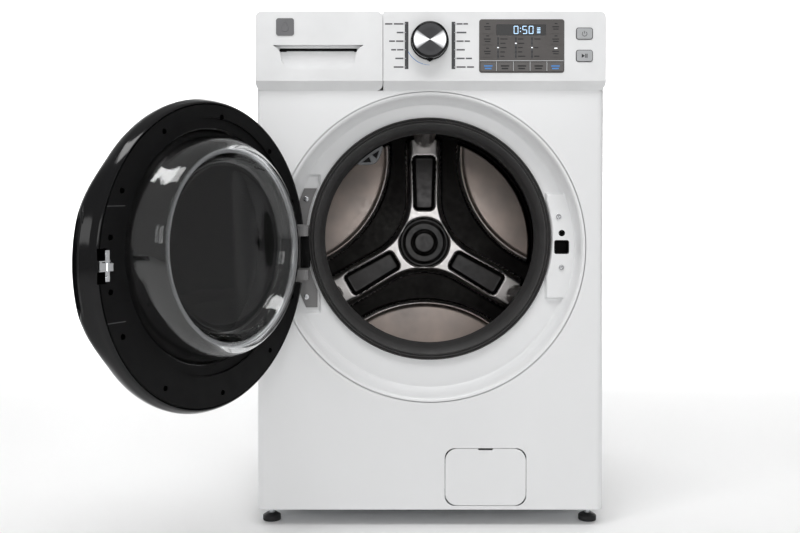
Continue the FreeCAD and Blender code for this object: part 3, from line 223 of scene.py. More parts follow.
def glow(name, color, strength):
    surface = Surface(name, color, 0.4)
    surface.set("Emission Color", (*color, 1.0))
    surface.set("Emission Strength", strength)
    return surface.material


def spun_face(name):
    """Turned metal with fine rings and a painted highlight: light and dark fans painted by angle round the knob's
    middle.
    """
    surface = Surface(name, (0.045, 0.045, 0.047), 0.28, metallic=1.0)
    centre = surface.node("VectorMath")
    centre.operation = "SUBTRACT"
    centre.inputs[1].default_value = (KNOB_X * MM, 0.0, KNOB_Z * MM)
    surface.links.new(surface.coordinates, centre.inputs[0])
    parts = surface.node("SeparateXYZ")
    surface.links.new(centre.outputs["Vector"], parts.inputs["Vector"])
    angle = surface.computed("ARCTAN2", parts.outputs["Z"], parts.outputs["X"])
    # Painted highlight: the colour turns bright at 3 and 9 o'clock and dark at 12 and 6.
    painted_highlight_fan = surface.computed("COSINE", surface.computed("MULTIPLY", angle, 2.0))
    surface.vary_color(surface.ranged(painted_highlight_fan, 0.0, 1.0, 0.25, 1.0), (0.92, 0.93, 0.95), 0.0, 1.0)
    rings = surface.node("TexWave", Scale=500.0)
    rings.wave_type = "RINGS"
    rings.rings_direction = "Y"
    surface.links.new(centre.outputs["Vector"], rings.inputs["Vector"])
    return surface.bump(rings.outputs["Fac"], 0.10, 0.0001).material


WHITE = (0.80, 0.805, 0.81)
MATERIALS = {
    "enamel": enamel("white_enamel", WHITE),
    "console": moulded("console_white", WHITE, 0.33, 1200.0, 0.03),
    "drawer_plastic": moulded("drawer_plastic", (0.72, 0.72, 0.70), 0.42),
    "panel": moulded("panel_grey_paint", (0.082, 0.075, 0.072), 0.42, 1500.0, 0.04),
    "key": moulded("key_grey", (0.110, 0.103, 0.100), 0.38),
    "display": gloss_black("display_black"),
    "light_bar": moulded("light_bar_grey", (0.035, 0.037, 0.04), 0.35),
    "button": moulded("button_grey", (0.42, 0.43, 0.44), 0.36),
    "print": moulded("print_grey", (0.10, 0.10, 0.105), 0.6),
    "print_dark": moulded("print_dark", (0.012, 0.012, 0.013), 0.6),
    "print_blue": moulded("print_blue", (0.08, 0.26, 0.62), 0.5),
    "glow": glow("display_light", (0.50, 0.74, 1.0), 0.6),
    "lamp": glow("lamp_white", (0.95, 0.97, 1.0), 0.9),
    "knob_face": spun_face("spun_metal_painted_highlight"),
    "black": moulded("black_plastic", (0.0045, 0.0045, 0.0048), 0.5, 700.0, 0.06, 0.10),
    "gloss": gloss_black("gloss_black"),
    "seal": rubber("seal_rubber", (0.034, 0.033, 0.033)),
    "hose": rubber("hose_rubber", (0.02, 0.02, 0.021)),
    "steel": polished_steel("drum_plate_steel", (0.80, 0.67, 0.60), (0.52, 0.46, 0.43), 0.38),
    # A bright copy of the drum steel: painted highlight on the star, the plate rims and the lifters.
    "star_steel_painted_highlight": polished_steel("drum_star_painted_highlight", (0.92, 0.88, 0.86), (0.80, 0.78, 0.77), 0.34),
    # A dark copy of the drum steel: painted shade in the pressed insets and the hub.
    "inset_steel_painted_shade": polished_steel("drum_inset_painted_shade", (0.075, 0.072, 0.072), (0.05, 0.05, 0.05), 0.36),
    # A dark copy of the drum steel: painted shade on the basket wall and lip inside the drum.
    "wall_steel_painted_shade": polished_steel(
        "drum_wall_painted_shade", (0.10, 0.095, 0.09), (0.06, 0.058, 0.055), 0.40, (20, 1, 20)),
    # A near-black copy of the drum steel: painted shade and dark reflection in the grooves and at the rim.
    "groove_steel_painted_shade": polished_steel(
        "drum_groove_painted_shade", (0.014, 0.013, 0.013), (0.025, 0.024, 0.023), 0.45),
    "galvanised": galvanised("galvanised"),
    "hinge": moulded("hinge_paint", (0.20, 0.196, 0.196), 0.34),
    "chrome": chrome("chrome"),
    "glass": glass("bowl_glass", (0.93, 0.94, 0.94)),
    # A whiter, part-diffuse glass for the bowl's rolled edge: partly frosted, partly a painted highlight arc.
    "glass_edge_highlight": glass("bowl_edge_painted_highlight", (0.90, 0.92, 0.94), 0.12, 0.84),
    "glass_flat": glass("bowl_flat_glass", (0.93, 0.94, 0.94), 0.0, 1.0, 1.22),
    "window": gloss_black("window_smoked"),
    "tub": moulded("tub_plastic", (0.56, 0.56, 0.54), 0.5),
    "nozzle": moulded("nozzle_grey", (0.13, 0.135, 0.14), 0.4),
    "concrete": cast("concrete", (0.36, 0.35, 0.33)),
    "copper": polished_steel("copper", (0.62, 0.33, 0.18), (0.5, 0.26, 0.14), 0.35, (1, 40, 1)),
    "zinc": polished_steel("zinc", (0.55, 0.56, 0.57), (0.45, 0.46, 0.47), 0.4),
    "badge": polished_steel("badge_steel", (0.15, 0.15, 0.155), (0.20, 0.20, 0.205), 0.38, (1, 1, 40)),
    "pale_rib": moulded("pale_rib", (0.55, 0.56, 0.57), 0.4),
    "seam": moulded("seam_grey", (0.04, 0.04, 0.042), 0.5),
    # Near-black with no sheen: painted shade for the insides of holes and pockets.
    "hole": moulded("hole_painted_shade", (0.0006, 0.0006, 0.0006), 0.9, 700.0, 0.04, 0.0),
    "liner": moulded("liner_dark", (0.018, 0.0172, 0.0172), 0.6, 15.0, 0.01, 0.05),
}


# ---- mesh helpers

@contextmanager
def editing(mesh):
    """A mesh opened for bmesh, and written back afterwards."""
    bm = bmesh.new()
    bm.from_mesh(mesh)
    yield bm
    bm.to_mesh(mesh)
    bm.free()


def add_object(name, data):
    item = bpy.data.objects.new(name, data)
    scene.collection.objects.link(item)
    return item


def add_mesh(name, vertices, faces, material, body="cabinet", smooth_angle=40.0):
    """A mesh object from millimetre vertices, riding on a CAD body."""
    mesh = bpy.data.meshes.new(name)
    mesh.from_pydata([tuple(np.asarray(v, float) * MM) for v in vertices], [], faces)
    mesh.materials.append(MATERIALS[material])
    with editing(mesh) as bm:
        bmesh.ops.recalc_face_normals(bm, faces=bm.faces)
    mesh.shade_smooth()
    mesh.set_sharp_from_angle(angle=radians(smooth_angle))
    piece = add_object(name, mesh)
    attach(piece, body)
    return piece


def sheet_faces(rows, columns, close_rows=False, close_columns=False):
    """Quads over a grid of points numbered row by row."""
    faces = []
    for i in range(rows if close_rows else rows - 1):
        for j in range(columns if close_columns else columns - 1):
            a, b = i * columns + j, i * columns + (j + 1) % columns
            c, d = ((i + 1) % rows) * columns + (j + 1) % columns, ((i + 1) % rows) * columns + j
            faces.append((a, b, c, d))
    return faces


def smooth_path(points, steps=6):
    """A Catmull-Rom curve through points. A point given twice stays a corner."""
    path = [points[0]] + list(points) + [points[-1]]
    result = []
    for p0, p1, p2, p3 in zip(path, path[1:], path[2:], path[3:]):
        if p1 == p2:
            continue
        for k in range(steps):
            t = k / steps
            result.append(tuple(
                0.5 * (2 * b + (c - a) * t + (2 * a - 5 * b + 4 * c - d) * t * t
                       + (3 * b - a - 3 * c + d) * t ** 3)
                for a, b, c, d in zip(p0, p1, p2, p3)))
    return result + [points[-1]]


def lathe(name, profile, z, material, body, segments=192, bend=None, closed=False, x=0.0,
          smooth_angle=40.0):
    """Turn (radius, y) points about a line along Y. bend moves each vertex."""
    vertices = []
    for radius, y in profile:
        for k in range(segments):
            turn = 2 * pi * k / segments
            point = np.array([x + radius * cos(turn), y, z + radius * sin(turn)])
            vertices.append(bend(point) if bend else point)
    faces = sheet_faces(len(profile), segments, closed, True)
    return add_mesh(name, vertices, faces, material, body, smooth_angle)


def rounded_outline(x0, x1, z0, z1, radius, steps=6):
    points = []
    for cx, cz, start in ((x1 - radius, z1 - radius, 0), (x0 + radius, z1 - radius, 90),
                          (x0 + radius, z0 + radius, 180), (x1 - radius, z0 + radius, 270)):
        for k in range(steps + 1):
            turn = radians(start + 90 * k / steps)
            points.append((cx + radius * cos(turn), cz + radius * sin(turn)))
    return points


def inset(outline, amount):
    """An outline moved inward, vertex by vertex, along its mitres."""
    pts = np.array(outline, float)
    ahead = np.roll(pts, -1, axis=0) - pts
    ahead /= np.maximum(np.linalg.norm(ahead, axis=1, keepdims=True), 1e-9)
    behind = np.roll(ahead, 1, axis=0)
    normal = np.stack([-(ahead[:, 1] + behind[:, 1]), ahead[:, 0] + behind[:, 0]], axis=1)
    normal /= np.maximum(np.linalg.norm(normal, axis=1, keepdims=True), 1e-9)
    return [tuple(p) for p in pts + normal * amount]


def stepped(outline, steps):
    """Rows of points: the outline moved inward by each step's amount, at that step's y."""
    return [(x, y, z) for amount, y in steps for x, z in (inset(outline, amount) if amount else outline)]


def plaque(name, outline, front, back, edge, material, body="cabinet"):
    """A flat piece with a rounded front edge, from a counter-clockwise (x, z) outline."""
    steps = [(0.0, back), (0.0, front + edge), (edge * 0.3, front + edge * 0.3), (edge, front)]
    rows = stepped(outline, steps)
    count = len(outline)
    faces = sheet_faces(len(steps), count, False, True)
    faces.append(tuple(range((len(steps) - 1) * count, len(steps) * count)))
    faces.append(tuple(reversed(range(count))))
    return add_mesh(name, rows, faces, material, body, 50.0)


def blocks(name, boxes, material, body="cabinet", place=None):
    """Several small blocks, each x0, x1, y0, y1, z0, z1, as one piece."""
    vertices, faces = [], []
    for x0, x1, y0, y1, z0, z1 in boxes:
        base = len(vertices)
        corners = [(x0, y0, z0), (x1, y0, z0), (x1, y1, z0), (x0, y1, z0),
                   (x0, y0, z1), (x1, y0, z1), (x1, y1, z1), (x0, y1, z1)]
        vertices += [place(np.array(p)) for p in corners] if place else corners
        for quad in ((0, 1, 5, 4), (1, 2, 6, 5), (2, 3, 7, 6), (3, 0, 4, 7), (4, 5, 6, 7), (3, 2, 1, 0)):
            faces.append(tuple(base + k for k in quad))
    add_mesh(name, vertices, faces, material, body)


def swung(point, way):
    """A point turned about the door's pin by its whole range, one way or the other."""
    swing = joints["door_swing"]
    pin = np.array(swing["pos_m"]) / MM
    turn = way * radians(swing["range_deg"][1])
    x, y = point[0] - pin[0], point[1] - pin[1]
    return np.array([pin[0] + x * cos(turn) - y * sin(turn),
                     pin[1] + x * sin(turn) + y * cos(turn), point[2]])


def opened(point):
    """Where a point of the closed door lies with the door at rest, open."""
    return swung(point, -1)


def closed_again(point):
    """Where a point of the open door lies when the door is shut."""
    return swung(point, 1)


def tilted(point):
    """World position of a point given about the drum's axis."""
    x, y, z = point
    return np.array([x, AXIS_Y + y * cos(TILT) + z * sin(TILT),
                     AXIS_Z - y * sin(TILT) + z * cos(TILT)])


def ease(value, start, end):
    t = np.clip((value - start) / (end - start), 0.0, 1.0)
    return t * t * (3 - 2 * t)


def clean_copy(node, material, keep):
    """A copy of a CAD node's mesh with merged flat faces. keep says which faces stay."""
    mesh = frame["nodes"][node].data.copy()
    mesh.materials.clear()
    mesh.materials.append(MATERIALS[material])
    with editing(mesh) as bm:
        bmesh.ops.remove_doubles(bm, verts=bm.verts, dist=2e-6)
        if keep:
            dropped = [f for f in bm.faces if not keep(f.calc_center_median() / MM)]
            bmesh.ops.delete(bm, geom=dropped, context="FACES")
        bmesh.ops.dissolve_limit(bm, angle_limit=radians(0.5), verts=bm.verts, edges=bm.edges)
    if "custom_normal" in mesh.attributes:
        mesh.attributes.remove(mesh.attributes["custom_normal"])
    mesh.shade_smooth()
    return mesh


def round_edges(piece, width, smooth_angle):
    """Bevel a piece's sharp edges, with the modifier applied."""
    modifier = piece.modifiers.new("edges", "BEVEL")
    modifier.width = width * MM
    modifier.segments = 3
    modifier.limit_method = "ANGLE"
    modifier.angle_limit = radians(smooth_angle)
    modifier.harden_normals = True
    graph = bpy.context.evaluated_depsgraph_get()
    mesh = bpy.data.meshes.new_from_object(piece.evaluated_get(graph))
    piece.modifiers.clear()
    piece.data = mesh


def finish_node(node, material, bevel, keep=None):
    """A copy of a CAD node with rounded edges and smooth shading, standing for it."""
    smooth_angle = 35.0
    bodies = frame["record"]["behaviour"]["bodies"]
    body = next(name for name, members in bodies.items() if node in members)
    piece = add_object(node + "_finished", clean_copy(node, material, keep))
    if bevel:
        round_edges(piece, bevel, smooth_angle)
    else:
        piece.data.set_sharp_from_angle(angle=radians(smooth_angle))
    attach(piece, body)
    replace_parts(piece, node)


# ---- front panel

def recess_wall(radius):
    """Depth of the recess at a distance from its centre: a soft lip, a slope and a soft foot."""
    lip = ease(-radius, -RECESS_EDGE_R, -292.0)
    slope = np.clip((298.0 - radius) / 14.5, 0.0, 1.0)
    blend = 0.35 * lip + 0.65 * slope
    return RECESS_DEPTH * ease(blend, 0.0, 1.0)


def pad_share(x, z):
    """How far a point is onto the raised latch pad, from 0 to 1."""
    inside = np.minimum(x - PAD_X0, np.minimum(z - PAD_Z0, PAD_Z1 - z))
    clear = np.hypot(x, z - SEAL_Z) - (SEAL_R + 2.0)
    return ease(np.minimum(inside, clear), -2.5, 2.5)


def pocket_share(x, z):
    """How far a point is into the deeper pocket of the hinge, from 0 to 1."""
    inside = np.minimum(POCKET_X1 - x, np.minimum(z - POCKET_Z0, POCKET_Z1 - z))
    clear = np.hypot(x, z - SEAL_Z) - (SEAL_R + 3.0)
    return ease(np.minimum(inside, clear), -3.0, 3.0)


def dish_depth(x, z):
    """Depth of the dish at a point, with the hinge's pocket and the raised latch pad."""
    radius = hypot(x, z - RECESS_Z)
    depth = recess_wall(radius)
    on_floor = ease(-radius, -290.0, -280.0)
    depth += pocket_share(x, z) * max(0.0, POCKET_DEPTH - depth) * on_floor
    pad_depth = RECESS_DEPTH - PAD_RISE
    if depth > pad_depth:
        depth = pad_depth + (depth - pad_depth) * (1 - pad_share(x, z))
    return depth


def in_latch_hole(x, z):
    in_hook_hole = abs(x - HOOK_HOLE_X) < HOOK_HOLE_HALF_X and abs(z - HOOK_Z) < HOOK_HOLE_HALF_Z
    return in_hook_hole or hypot(x - SWITCH_X, z - SWITCH_Z) < SWITCH_R + 0.3


def recess_dish():
    """The dish of the front panel, from its outer lip to the hole that the seal grips."""
    spokes, floor_rows, wall_rows = 1440, 34, 40
    rows = floor_rows + wall_rows
    vertices = []
    for i in range(rows):
        for k in range(spokes):
            turn = 2 * pi * k / spokes
            way = np.array([cos(turn), sin(turn)])
            if i < floor_rows:
                share = i / floor_rows
                hole_point = np.array([0, SEAL_Z]) + SEAL_HOLE_R * way
                foot_point = np.array([0, RECESS_Z]) + RECESS_FLOOR_R * way
                x, z = (1 - share) * hole_point + share * foot_point
            else:
                share = (i - floor_rows) / (wall_rows - 1)
                radius = RECESS_FLOOR_R + (RECESS_OUTER_R - RECESS_FLOOR_R) * share
                x, z = np.array([0, RECESS_Z]) + radius * way
            depth = 0.5 if i == rows - 1 else dish_depth(x, z)
            vertices.append((x, FRONT_Y + depth, z))
    faces = []
    for face in sheet_faces(rows, spokes, False, True):
        middle = np.mean([vertices[k] for k in face], axis=0)
        if not in_latch_hole(middle[0], middle[2]):
            faces.append(face)
    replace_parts(add_mesh("front_recess", vertices, faces, "enamel", "cabinet", 80.0), "front_panel")


def front_panel():
    def outside_recess(middle):
        radius = hypot(middle.x, middle.z - RECESS_Z)
        return radius > RECESS_EDGE_R - 0.6 or middle.y < FRONT_Y + 0.01

    finish_node("front_panel", "enamel", 0.0, outside_recess)
    recess_dish()
    well("hook_socket", rounded_outline(251.2, 278.2, 541.5, 566.5, 3.0), 24.0)
    turns = [radians(angle) for angle in range(0, 360, 15)]
    circle = [(SWITCH_X + SWITCH_R * cos(a), SWITCH_Z + SWITCH_R * sin(a)) for a in turns]
    well("switch_socket", circle, 10.0)


def well(name, outline, depth):
    """A black socket with a thin rim, sunk into the latch pad."""
    face = RECESS_Y - PAD_RISE
    steps = [(-1.6, face + 0.2), (-1.4, face - 0.1), (-0.2, face - 0.15), (0.6, face + 0.3),
             (0.8, face + depth)]
    count = len(outline)
    faces = sheet_faces(len(steps), count, False, True)
    faces.append(tuple(range((len(steps) - 1) * count, len(steps) * count)))
    add_mesh(name, stepped(outline, steps), faces, "black")


# ---- seal

def hinge_gap_shade():
    """A black plaque on the hinge plate between its two lugs: painted shade in the gap between them."""
    plaque("hinge_gap_shade", rounded_outline(-260.0, -241.0, 512.5, 576.5, 3.0), FRONT_Y + 36.0,
           FRONT_Y + POCKET_DEPTH - 3.5, 1.5, "black")


# The bellows' section as (radius, y) steps: its rim from SEAL_R, then its throat and folds from
# THROAT_R, all from the depth of the recess's floor.
SEAL_RIM = ((0.0, 0.5), (0.0, -4.5), (-1.2, -7.2), (-2.6, -7.6), (-3.6, -6.0), (-4.8, -5.8),
            (-6.0, -8.6), (-7.4, -9.0), (-8.6, -7.2), (-9.6, -7.0), (-10.8, -9.2), (-12.6, -9.4),
            (-15.0, -7.6), (-19.0, -3.4), (-23.5, 3.0))
SEAL_THROAT = ((4.4, 11.0), (1.4, 19.0), (0.0, 27.0), (0.4, 30.0), (3.0, 31.0), (9.0, 30.0),
               (18.0, 33.0), (22.0, 40.0), (18.0, 46.0))


def door_seal():
    """The bellows: fine rings at its rim, a smooth flank, the throat and folds to the tub."""
    section = [(SEAL_R + r, RECESS_Y + y) for r, y in SEAL_RIM]
    section += [(THROAT_R + r, RECESS_Y + y) for r, y in SEAL_THROAT]

    def lean(point):
        share = ease(point[1], RECESS_Y + 26.0, RECESS_Y + 46.0)
        point[1] += share * tan(TILT) * (point[2] - SEAL_Z)
        return point

    seal = lathe("door_bellows", smooth_path(section, 4), SEAL_Z, "seal", "cabinet", 256, lean,
                 smooth_angle=80.0)
    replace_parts(seal, "door_seal")


def seal_point(angle, radius):
    """An (x, z) point at an angle in degrees and a distance from the seal's middle."""
    turn = radians(angle)
    return (radius * cos(turn), SEAL_Z + radius * sin(turn))


def spray_nozzle():
    """A D-shaped jet moulding with a slanted web across its opening."""
    start, sweep, steps = 117.0, 17.0, 24
    y0 = RECESS_Y + 20.0
    shares = [k / steps for k in range(steps + 1)]
    outline = [seal_point(start + sweep * share, 212.0) for share in shares]
    outline += [seal_point(start + sweep - sweep * share, 208.0 - 19.0 * sin(pi * share))
                for share in shares]
    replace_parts(plaque("nozzle_shell", outline, y0, y0 + 14.0, 1.6, "nozzle"), "spray_nozzle")
    # Black triangles on the face stand for the openings: painted shade inside them.
    for number, low, high, lean in ((1, 119.5, 124.6, 1.6), (2, 126.4, 131.5, -1.6)):
        corners = [seal_point(low, 206.5), seal_point(high, 206.5),
                   seal_point((low + high) / 2 + lean, 194.5)]
        plaque(f"nozzle_opening_shade_{number}", corners, y0 - 0.5, y0 + 1.0, 0.3, "black")
        bead(f"nozzle_rib_{number}", corners, y0 - 0.3, 1.0, "nozzle")


def bead(name, corners, y, radius, material):
    """A thin round bead round a closed (x, z) outline, on the cabinet."""
    vertices = []
    around = 8
    outline = np.array(corners, float)
    middle = outline.mean(axis=0)
    for p in outline:
        out = (p - middle) / np.linalg.norm(p - middle)
        for k in range(around):
            turn = 2 * pi * k / around
            x, z = p + out * radius * cos(turn)
            vertices.append((x, y - radius * sin(turn), z))
    faces = sheet_faces(len(corners), around, True, True)
    add_mesh(name, vertices, faces, material, smooth_angle=60.0)


# ---- drum

ARM_HALF, FILLET_R, FILLET_AT = 42.0, 152.0, 224.0
PLATE_R, PLATE_AT = 285.0, 430.0
INSET_AT, INSET_LENGTH, INSET_CORNER = 147.5, 68.5, 13.0
DRUM_PAINTED_LIGHT_STEELS = ("steel", "star_steel_painted_highlight", "inset_steel_painted_shade", "groove_steel_painted_shade")
PLATE, STAR_HIGHLIGHT, INSET_SHADE, GROOVE_SHADE = range(4)


def inside_inset(along, across):
    """How far a point lies inside the rounded panel pressed into its arm."""
    half = 30.0 - 4.0 * ease(-along, -215.0, -80.0)
    end = abs(along - INSET_AT)
    from_corner = hypot(max(0.0, across - half + INSET_CORNER),
                             max(0.0, end - INSET_LENGTH + INSET_CORNER))
    if from_corner == 0.0:
        return min(half - across, INSET_LENGTH - end)
    return INSET_CORNER - from_corner


def star_height(x, z):
    """Forward height of the pressed drum back, and which copy of its steel the point gets: plain, a painted
    highlight on the star and the plate rims, or painted shade in the insets, hub, rim and grooves.
    """
    radius = hypot(x, z)
    arms = [(cos(radians(angle)), sin(radians(angle))) for angle in ARM_ANGLES]
    ux, uz = max(arms, key=lambda way: x * way[0] + z * way[1])
    along, across = x * ux + z * uz, abs(-x * uz + z * ux)
    u = along * 0.5 + across * sin(radians(60))
    v = along * sin(radians(60)) - across * 0.5
    in_fillet = atan2(v, FILLET_AT - u) < radians(30.0) and u < FILLET_AT
    off_star = FILLET_R - hypot(u - FILLET_AT, v) if in_fillet else across - ARM_HALF
    on_plate = PLATE_R - hypot(u - PLATE_AT, v)
    inside = inside_inset(along, across)
    height = 30.0 * ease(-off_star, -4.0, 12.0) + 20.0 * ease(on_plate, -8.0, 4.0)
    height += 4.0 * ease(on_plate, -6.0, 0.0) * ease(-on_plate, -14.0, -2.0)
    height -= 11.0 * ease(inside, -3.0, 9.0)
    for step, outer, inner in ((-6.0, 66.0, 56.0), (5.0, 54.0, 46.0), (9.0, 34.0, 22.0)):
        height += step * ease(-radius, -outer, -inner)
    # Painted light by zone: shade at the rim and in the grooves, shade in the insets and hub, a highlight on the
    # star and the plate rims.
    if radius > 259.0 or (off_star > 1.0 and on_plate < -5.0):
        zone = GROOVE_SHADE
    elif inside > 0.5 or radius < 60.0:
        zone = INSET_SHADE
    else:
        zone = STAR_HIGHLIGHT if off_star < 4.0 or on_plate < 3.0 else PLATE
    return height * ease(-radius, -268.0, -256.0), zone


def drum_back():
    rows, spokes = 170, 480
    vertices, zones = [], []
    for i in range(rows):
        radius = (DRUM_R - 1.4) * (i + 0.02) / (rows - 1 + 0.02)
        for k in range(spokes):
            turn = 2 * pi * k / spokes
            x, z = radius * cos(turn), radius * sin(turn)
            height, zone = star_height(x, z)
            vertices.append(tilted((x, DRUM_BACK - 1.5 - height, z)))
            zones.append(zone)
    faces = sheet_faces(rows, spokes, False, True)
    back = add_mesh("drum_back_pressed", vertices, faces, DRUM_PAINTED_LIGHT_STEELS[0], "drum", 80.0)
    # The lit and shaded copies of the steel, painted highlight and painted shade, go on face by face.
    for finish in DRUM_PAINTED_LIGHT_STEELS[1:]:
        back.data.materials.append(MATERIALS[finish])
    for face in back.data.polygons:
        face.material_index = zones[face.vertices[0]]
    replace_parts(back, "drum_back")


def drum_wall():
    """The basket wall, with a real hole in every other cell."""
    columns, rows = 96, 19
    start, end = 96.0, DRUM_BACK
    square = [(0, 0), (0.5, 0), (1, 0), (1, 0.5), (1, 1), (0.5, 1), (0, 1), (0, 0.5)]
    turns = [radians(225 + 45 * n) for n in range(8)]
    hole = [(0.5 + 0.17 * cos(a), 0.5 + 0.15 * sin(a)) for a in turns]
    vertices, faces = [], []

    def at(u, v):
        turn = 2 * pi * u / columns
        depth = start + (end - start) * v / rows
        return tilted((WALL_R * cos(turn), depth, WALL_R * sin(turn)))

    for i in range(rows):
        for k in range(columns):
            base = len(vertices)
            vertices += [at(k + u, i + v) for u, v in square]
            if 0 < i < rows - 1 and (i + k) % 2 == 0:
                vertices += [at(k + u, i + v) for u, v in hole]
                for n in range(8):
                    after = (n + 1) % 8
                    faces.append((base + n, base + after, base + 8 + after, base + 8 + n))
            else:
                faces.append(tuple(range(base, base + 8)))
    # The wall's dark steel is painted shade inside the basket.
    wall = add_mesh("drum_wall", vertices, faces, "wall_steel_painted_shade", "drum", 60.0)
    with editing(wall.data) as bm:
        bmesh.ops.remove_doubles(bm, verts=bm.verts, dist=2e-5)
    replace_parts(wall, "drum_shell")


def drum_lip():
    """The rolled front edge of the basket, in the dark steel that paints shade on it."""
    section = [(232.5, 76), (229.5, 72), (229, 67), (232, 63), (238, DRUM_FRONT), (256, 66), (267, 74),
               (WALL_R, 88), (WALL_R, 96.5)]
    rolled = lathe("drum_lip", smooth_path(section, 5), 0.0, "wall_steel_painted_shade", "drum", 192, tilted,
                   smooth_angle=80.0)
    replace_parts(rolled, "drum_shell")


def drum_lifters():
    """Three moulded vanes, full at the middle and rounded down at both ends."""
    rows, around = 40, 28
    start, length = 108.0, DRUM_BACK - 24.0 - 108.0
    half_width, full_height = 30.0, 40.0
    for number, angle in enumerate(ARM_ANGLES):
        turn = radians(angle - 90)
        vertices = []
        for i in range(rows):
            share = i / (rows - 1)
            rise = (ease(share, 0.0, 0.09) * ease(1 - share, 0.0, 0.06)) ** 0.6
            wave = 1 - 0.10 * sin(6 * pi * share) ** 2
            for k in range(around):
                a = pi * k / (around - 1)
                wide = half_width * copysign(abs(cos(a)) ** 0.75, cos(a))
                tall = full_height * rise * sin(a) ** 0.62 * wave
                x = wide * (1.0 - 0.35 * tall / full_height)
                z = sqrt((DRUM_R - 1.0) ** 2 - x * x) - tall
                vertices.append(tilted((x * cos(turn) - z * sin(turn), start + length * share,
                                        x * sin(turn) + z * cos(turn))))
        # The vanes take the bright steel of the painted highlight.
        vane = add_mesh(f"lifter_{number + 1}", vertices, sheet_faces(rows, around), "star_steel_painted_highlight", "drum",
                        70.0)
        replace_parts(vane, "drum_lifters")


# ---- door

def from_ring(points):
    """(radius, height off the shut door's inner face) points as (radius, y) points."""
    return [(radius, RING_Y - height) for radius, height in points]


COVER_OUTSIDE = ((262.5, 0.8), (264.5, 0.0), (267.0, 2.6), (269.5, 8.0), (271.6, 14.0), (272.0, 20.0),
                 (270.8, 28.0), (267.8, 36.0), (262.4, 44.0), (254.4, 51.5), (244.4, 57.8),
                 (232.0, 62.6), (216.0, 66.4), (200.0, 68.2), (196.2, 67.6), (195.6, 64.0))
COVER_INSIDE = ((199.0, 64.0), (216.0, 63.0), (231.0, 59.5), (242.0, 55.0), (252.0, 48.5), (259.5, 41.5),
                (264.5, 34.0), (267.5, 27.0), (268.6, 20.0), (268.4, 14.0), (266.0, 8.0), (263.4, 3.6))
COVER_SWELL, GROOVE_DEPTH = 13.0, 5.5


def swell(point):
    """Move a point of the round cover out to its swelling, grooved sides, and open the door."""
    x, z = point[0], point[2] - DOOR_Z
    angle = abs(degrees(atan2(z, x)))
    radius = hypot(x, z)
    height = RING_Y - point[1]
    skin = ease(radius, 240.0, 258.0) * ease(height, 10.0, 30.0)
    share = ease(-angle, -40.0, -14.0) * skin
    groove = ease(-angle, -18.0, -13.0) * ease(height, 24.0, 26.0) * ease(-height, -38.0, -36.0)
    growth = (radius + COVER_SWELL * share - GROOVE_DEPTH * groove) / radius
    return opened(np.array([x * growth, point[1], DOOR_Z + z * growth]))


def door_cover():
    """The gloss black outer cover with its swelling, grooved grip, cut away around the hinge."""
    profile = smooth_path(from_ring(COVER_OUTSIDE), 5) + from_ring(COVER_INSIDE)
    cover = lathe("door_cover_shell", profile, DOOR_Z, "gloss", "door", 360, swell, closed=True,
                  smooth_angle=50.0)
    notch_out(cover)
    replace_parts(cover, "door_cover")


def notch_out(cover):
    """Open the cover's rim where the hinge lugs pass, in the closed door's own directions."""
    x_edge, z_low, z_high, top = -239.0, 488.0, 602.0, RING_Y - 42.0
    turn = Matrix.Rotation(-radians(joints["door_swing"]["range_deg"][1]), 3, "Z")
    planes = (((x_edge, 0, 0), (1, 0, 0)), ((0, 0, z_low), (0, 0, 1)), ((0, 0, z_high), (0, 0, 1)),
              ((0, top, 0), (0, 1, 0)))
    with editing(cover.data) as bm:
        for point, normal in planes:
            bmesh.ops.bisect_plane(bm, geom=bm.verts[:] + bm.edges[:] + bm.faces[:], dist=1e-7,
                                   plane_co=Vector(opened(np.array(point, float))) * MM,
                                   plane_no=turn @ Vector(normal))
        gone = []
        for face in bm.faces:
            x, y, z = closed_again(np.array(face.calc_center_median()) / MM)
            if x < x_edge and z_low < z < z_high and y > top:
                gone.append(face)
        bmesh.ops.delete(bm, geom=gone, context="FACES")


def door_trim():
    """The bright ring between the cover and the window."""
    section = from_ring([(197.5, 66.0), (197.0, 69.0), (194.5, 71.0), (190.0, 71.4), (186.5, 70.2),
                         (184.5, 67.0)])
    trim = lathe("door_trim_ring", smooth_path(section, 5), DOOR_Z, "chrome", "door", 192, opened,
                 smooth_angle=80.0)
    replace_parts(trim, "door_trim")


def door_window():
    """The dark domed pane on the outside of the door."""
    front = from_ring([(185.5, 66.5), (150.0, 68.5), (100.0, 71.2), (50.0, 72.7), (0.5, 73.0)])
    back = from_ring([(0.5, 69.5), (100.0, 67.7), (185.5, 62.5), (185.5, 66.5)])
    section = smooth_path(front, 5) + smooth_path(back, 5)
    pane = lathe("door_pane", section, DOOR_Z, "window", "door", 160, opened, smooth_angle=60.0)
    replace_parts(pane, "door_window")


# The bowl's outside as (radius, height), and what share of the glass's thickness the inside is
# smaller by and shallower by.
BOWL = ((202.5, 7.0, 1.0, 0.0), (199.0, 0.0, 1.0, 0.0), (194.5, -12.0, 1.0, 0.0), (190.0, -26.0, 1.0, 0.0),
        (186.0, -38.0, 1.0, 0.4), (181.0, -47.0, 1.0, 1.0), (175.0, -52.0, 1.0, 1.0),
        (169.0, -53.0, 0.6, 1.0), (163.0, -50.0, 0.2, 1.0), (158.0, -41.0, 0.0, 1.0),
        (152.0, -31.0, 0.0, 1.0), (143.0, -27.0, 0.0, 1.0), (120.0, -26.0, 0.0, 1.0), (0.5, -25.5, 0.0, 1.0))
GLASS_THICK, BOWL_SLANT = 5.0, 9.0
EDGE_R0, EDGE_R1, EDGE_DEPTH, FLAT_R = GLASS_R - 43.0, GLASS_R - 35.0, 40.0, GLASS_R - 60.0
GLASS_FACES = ("glass", "glass_edge_highlight", "glass_flat")


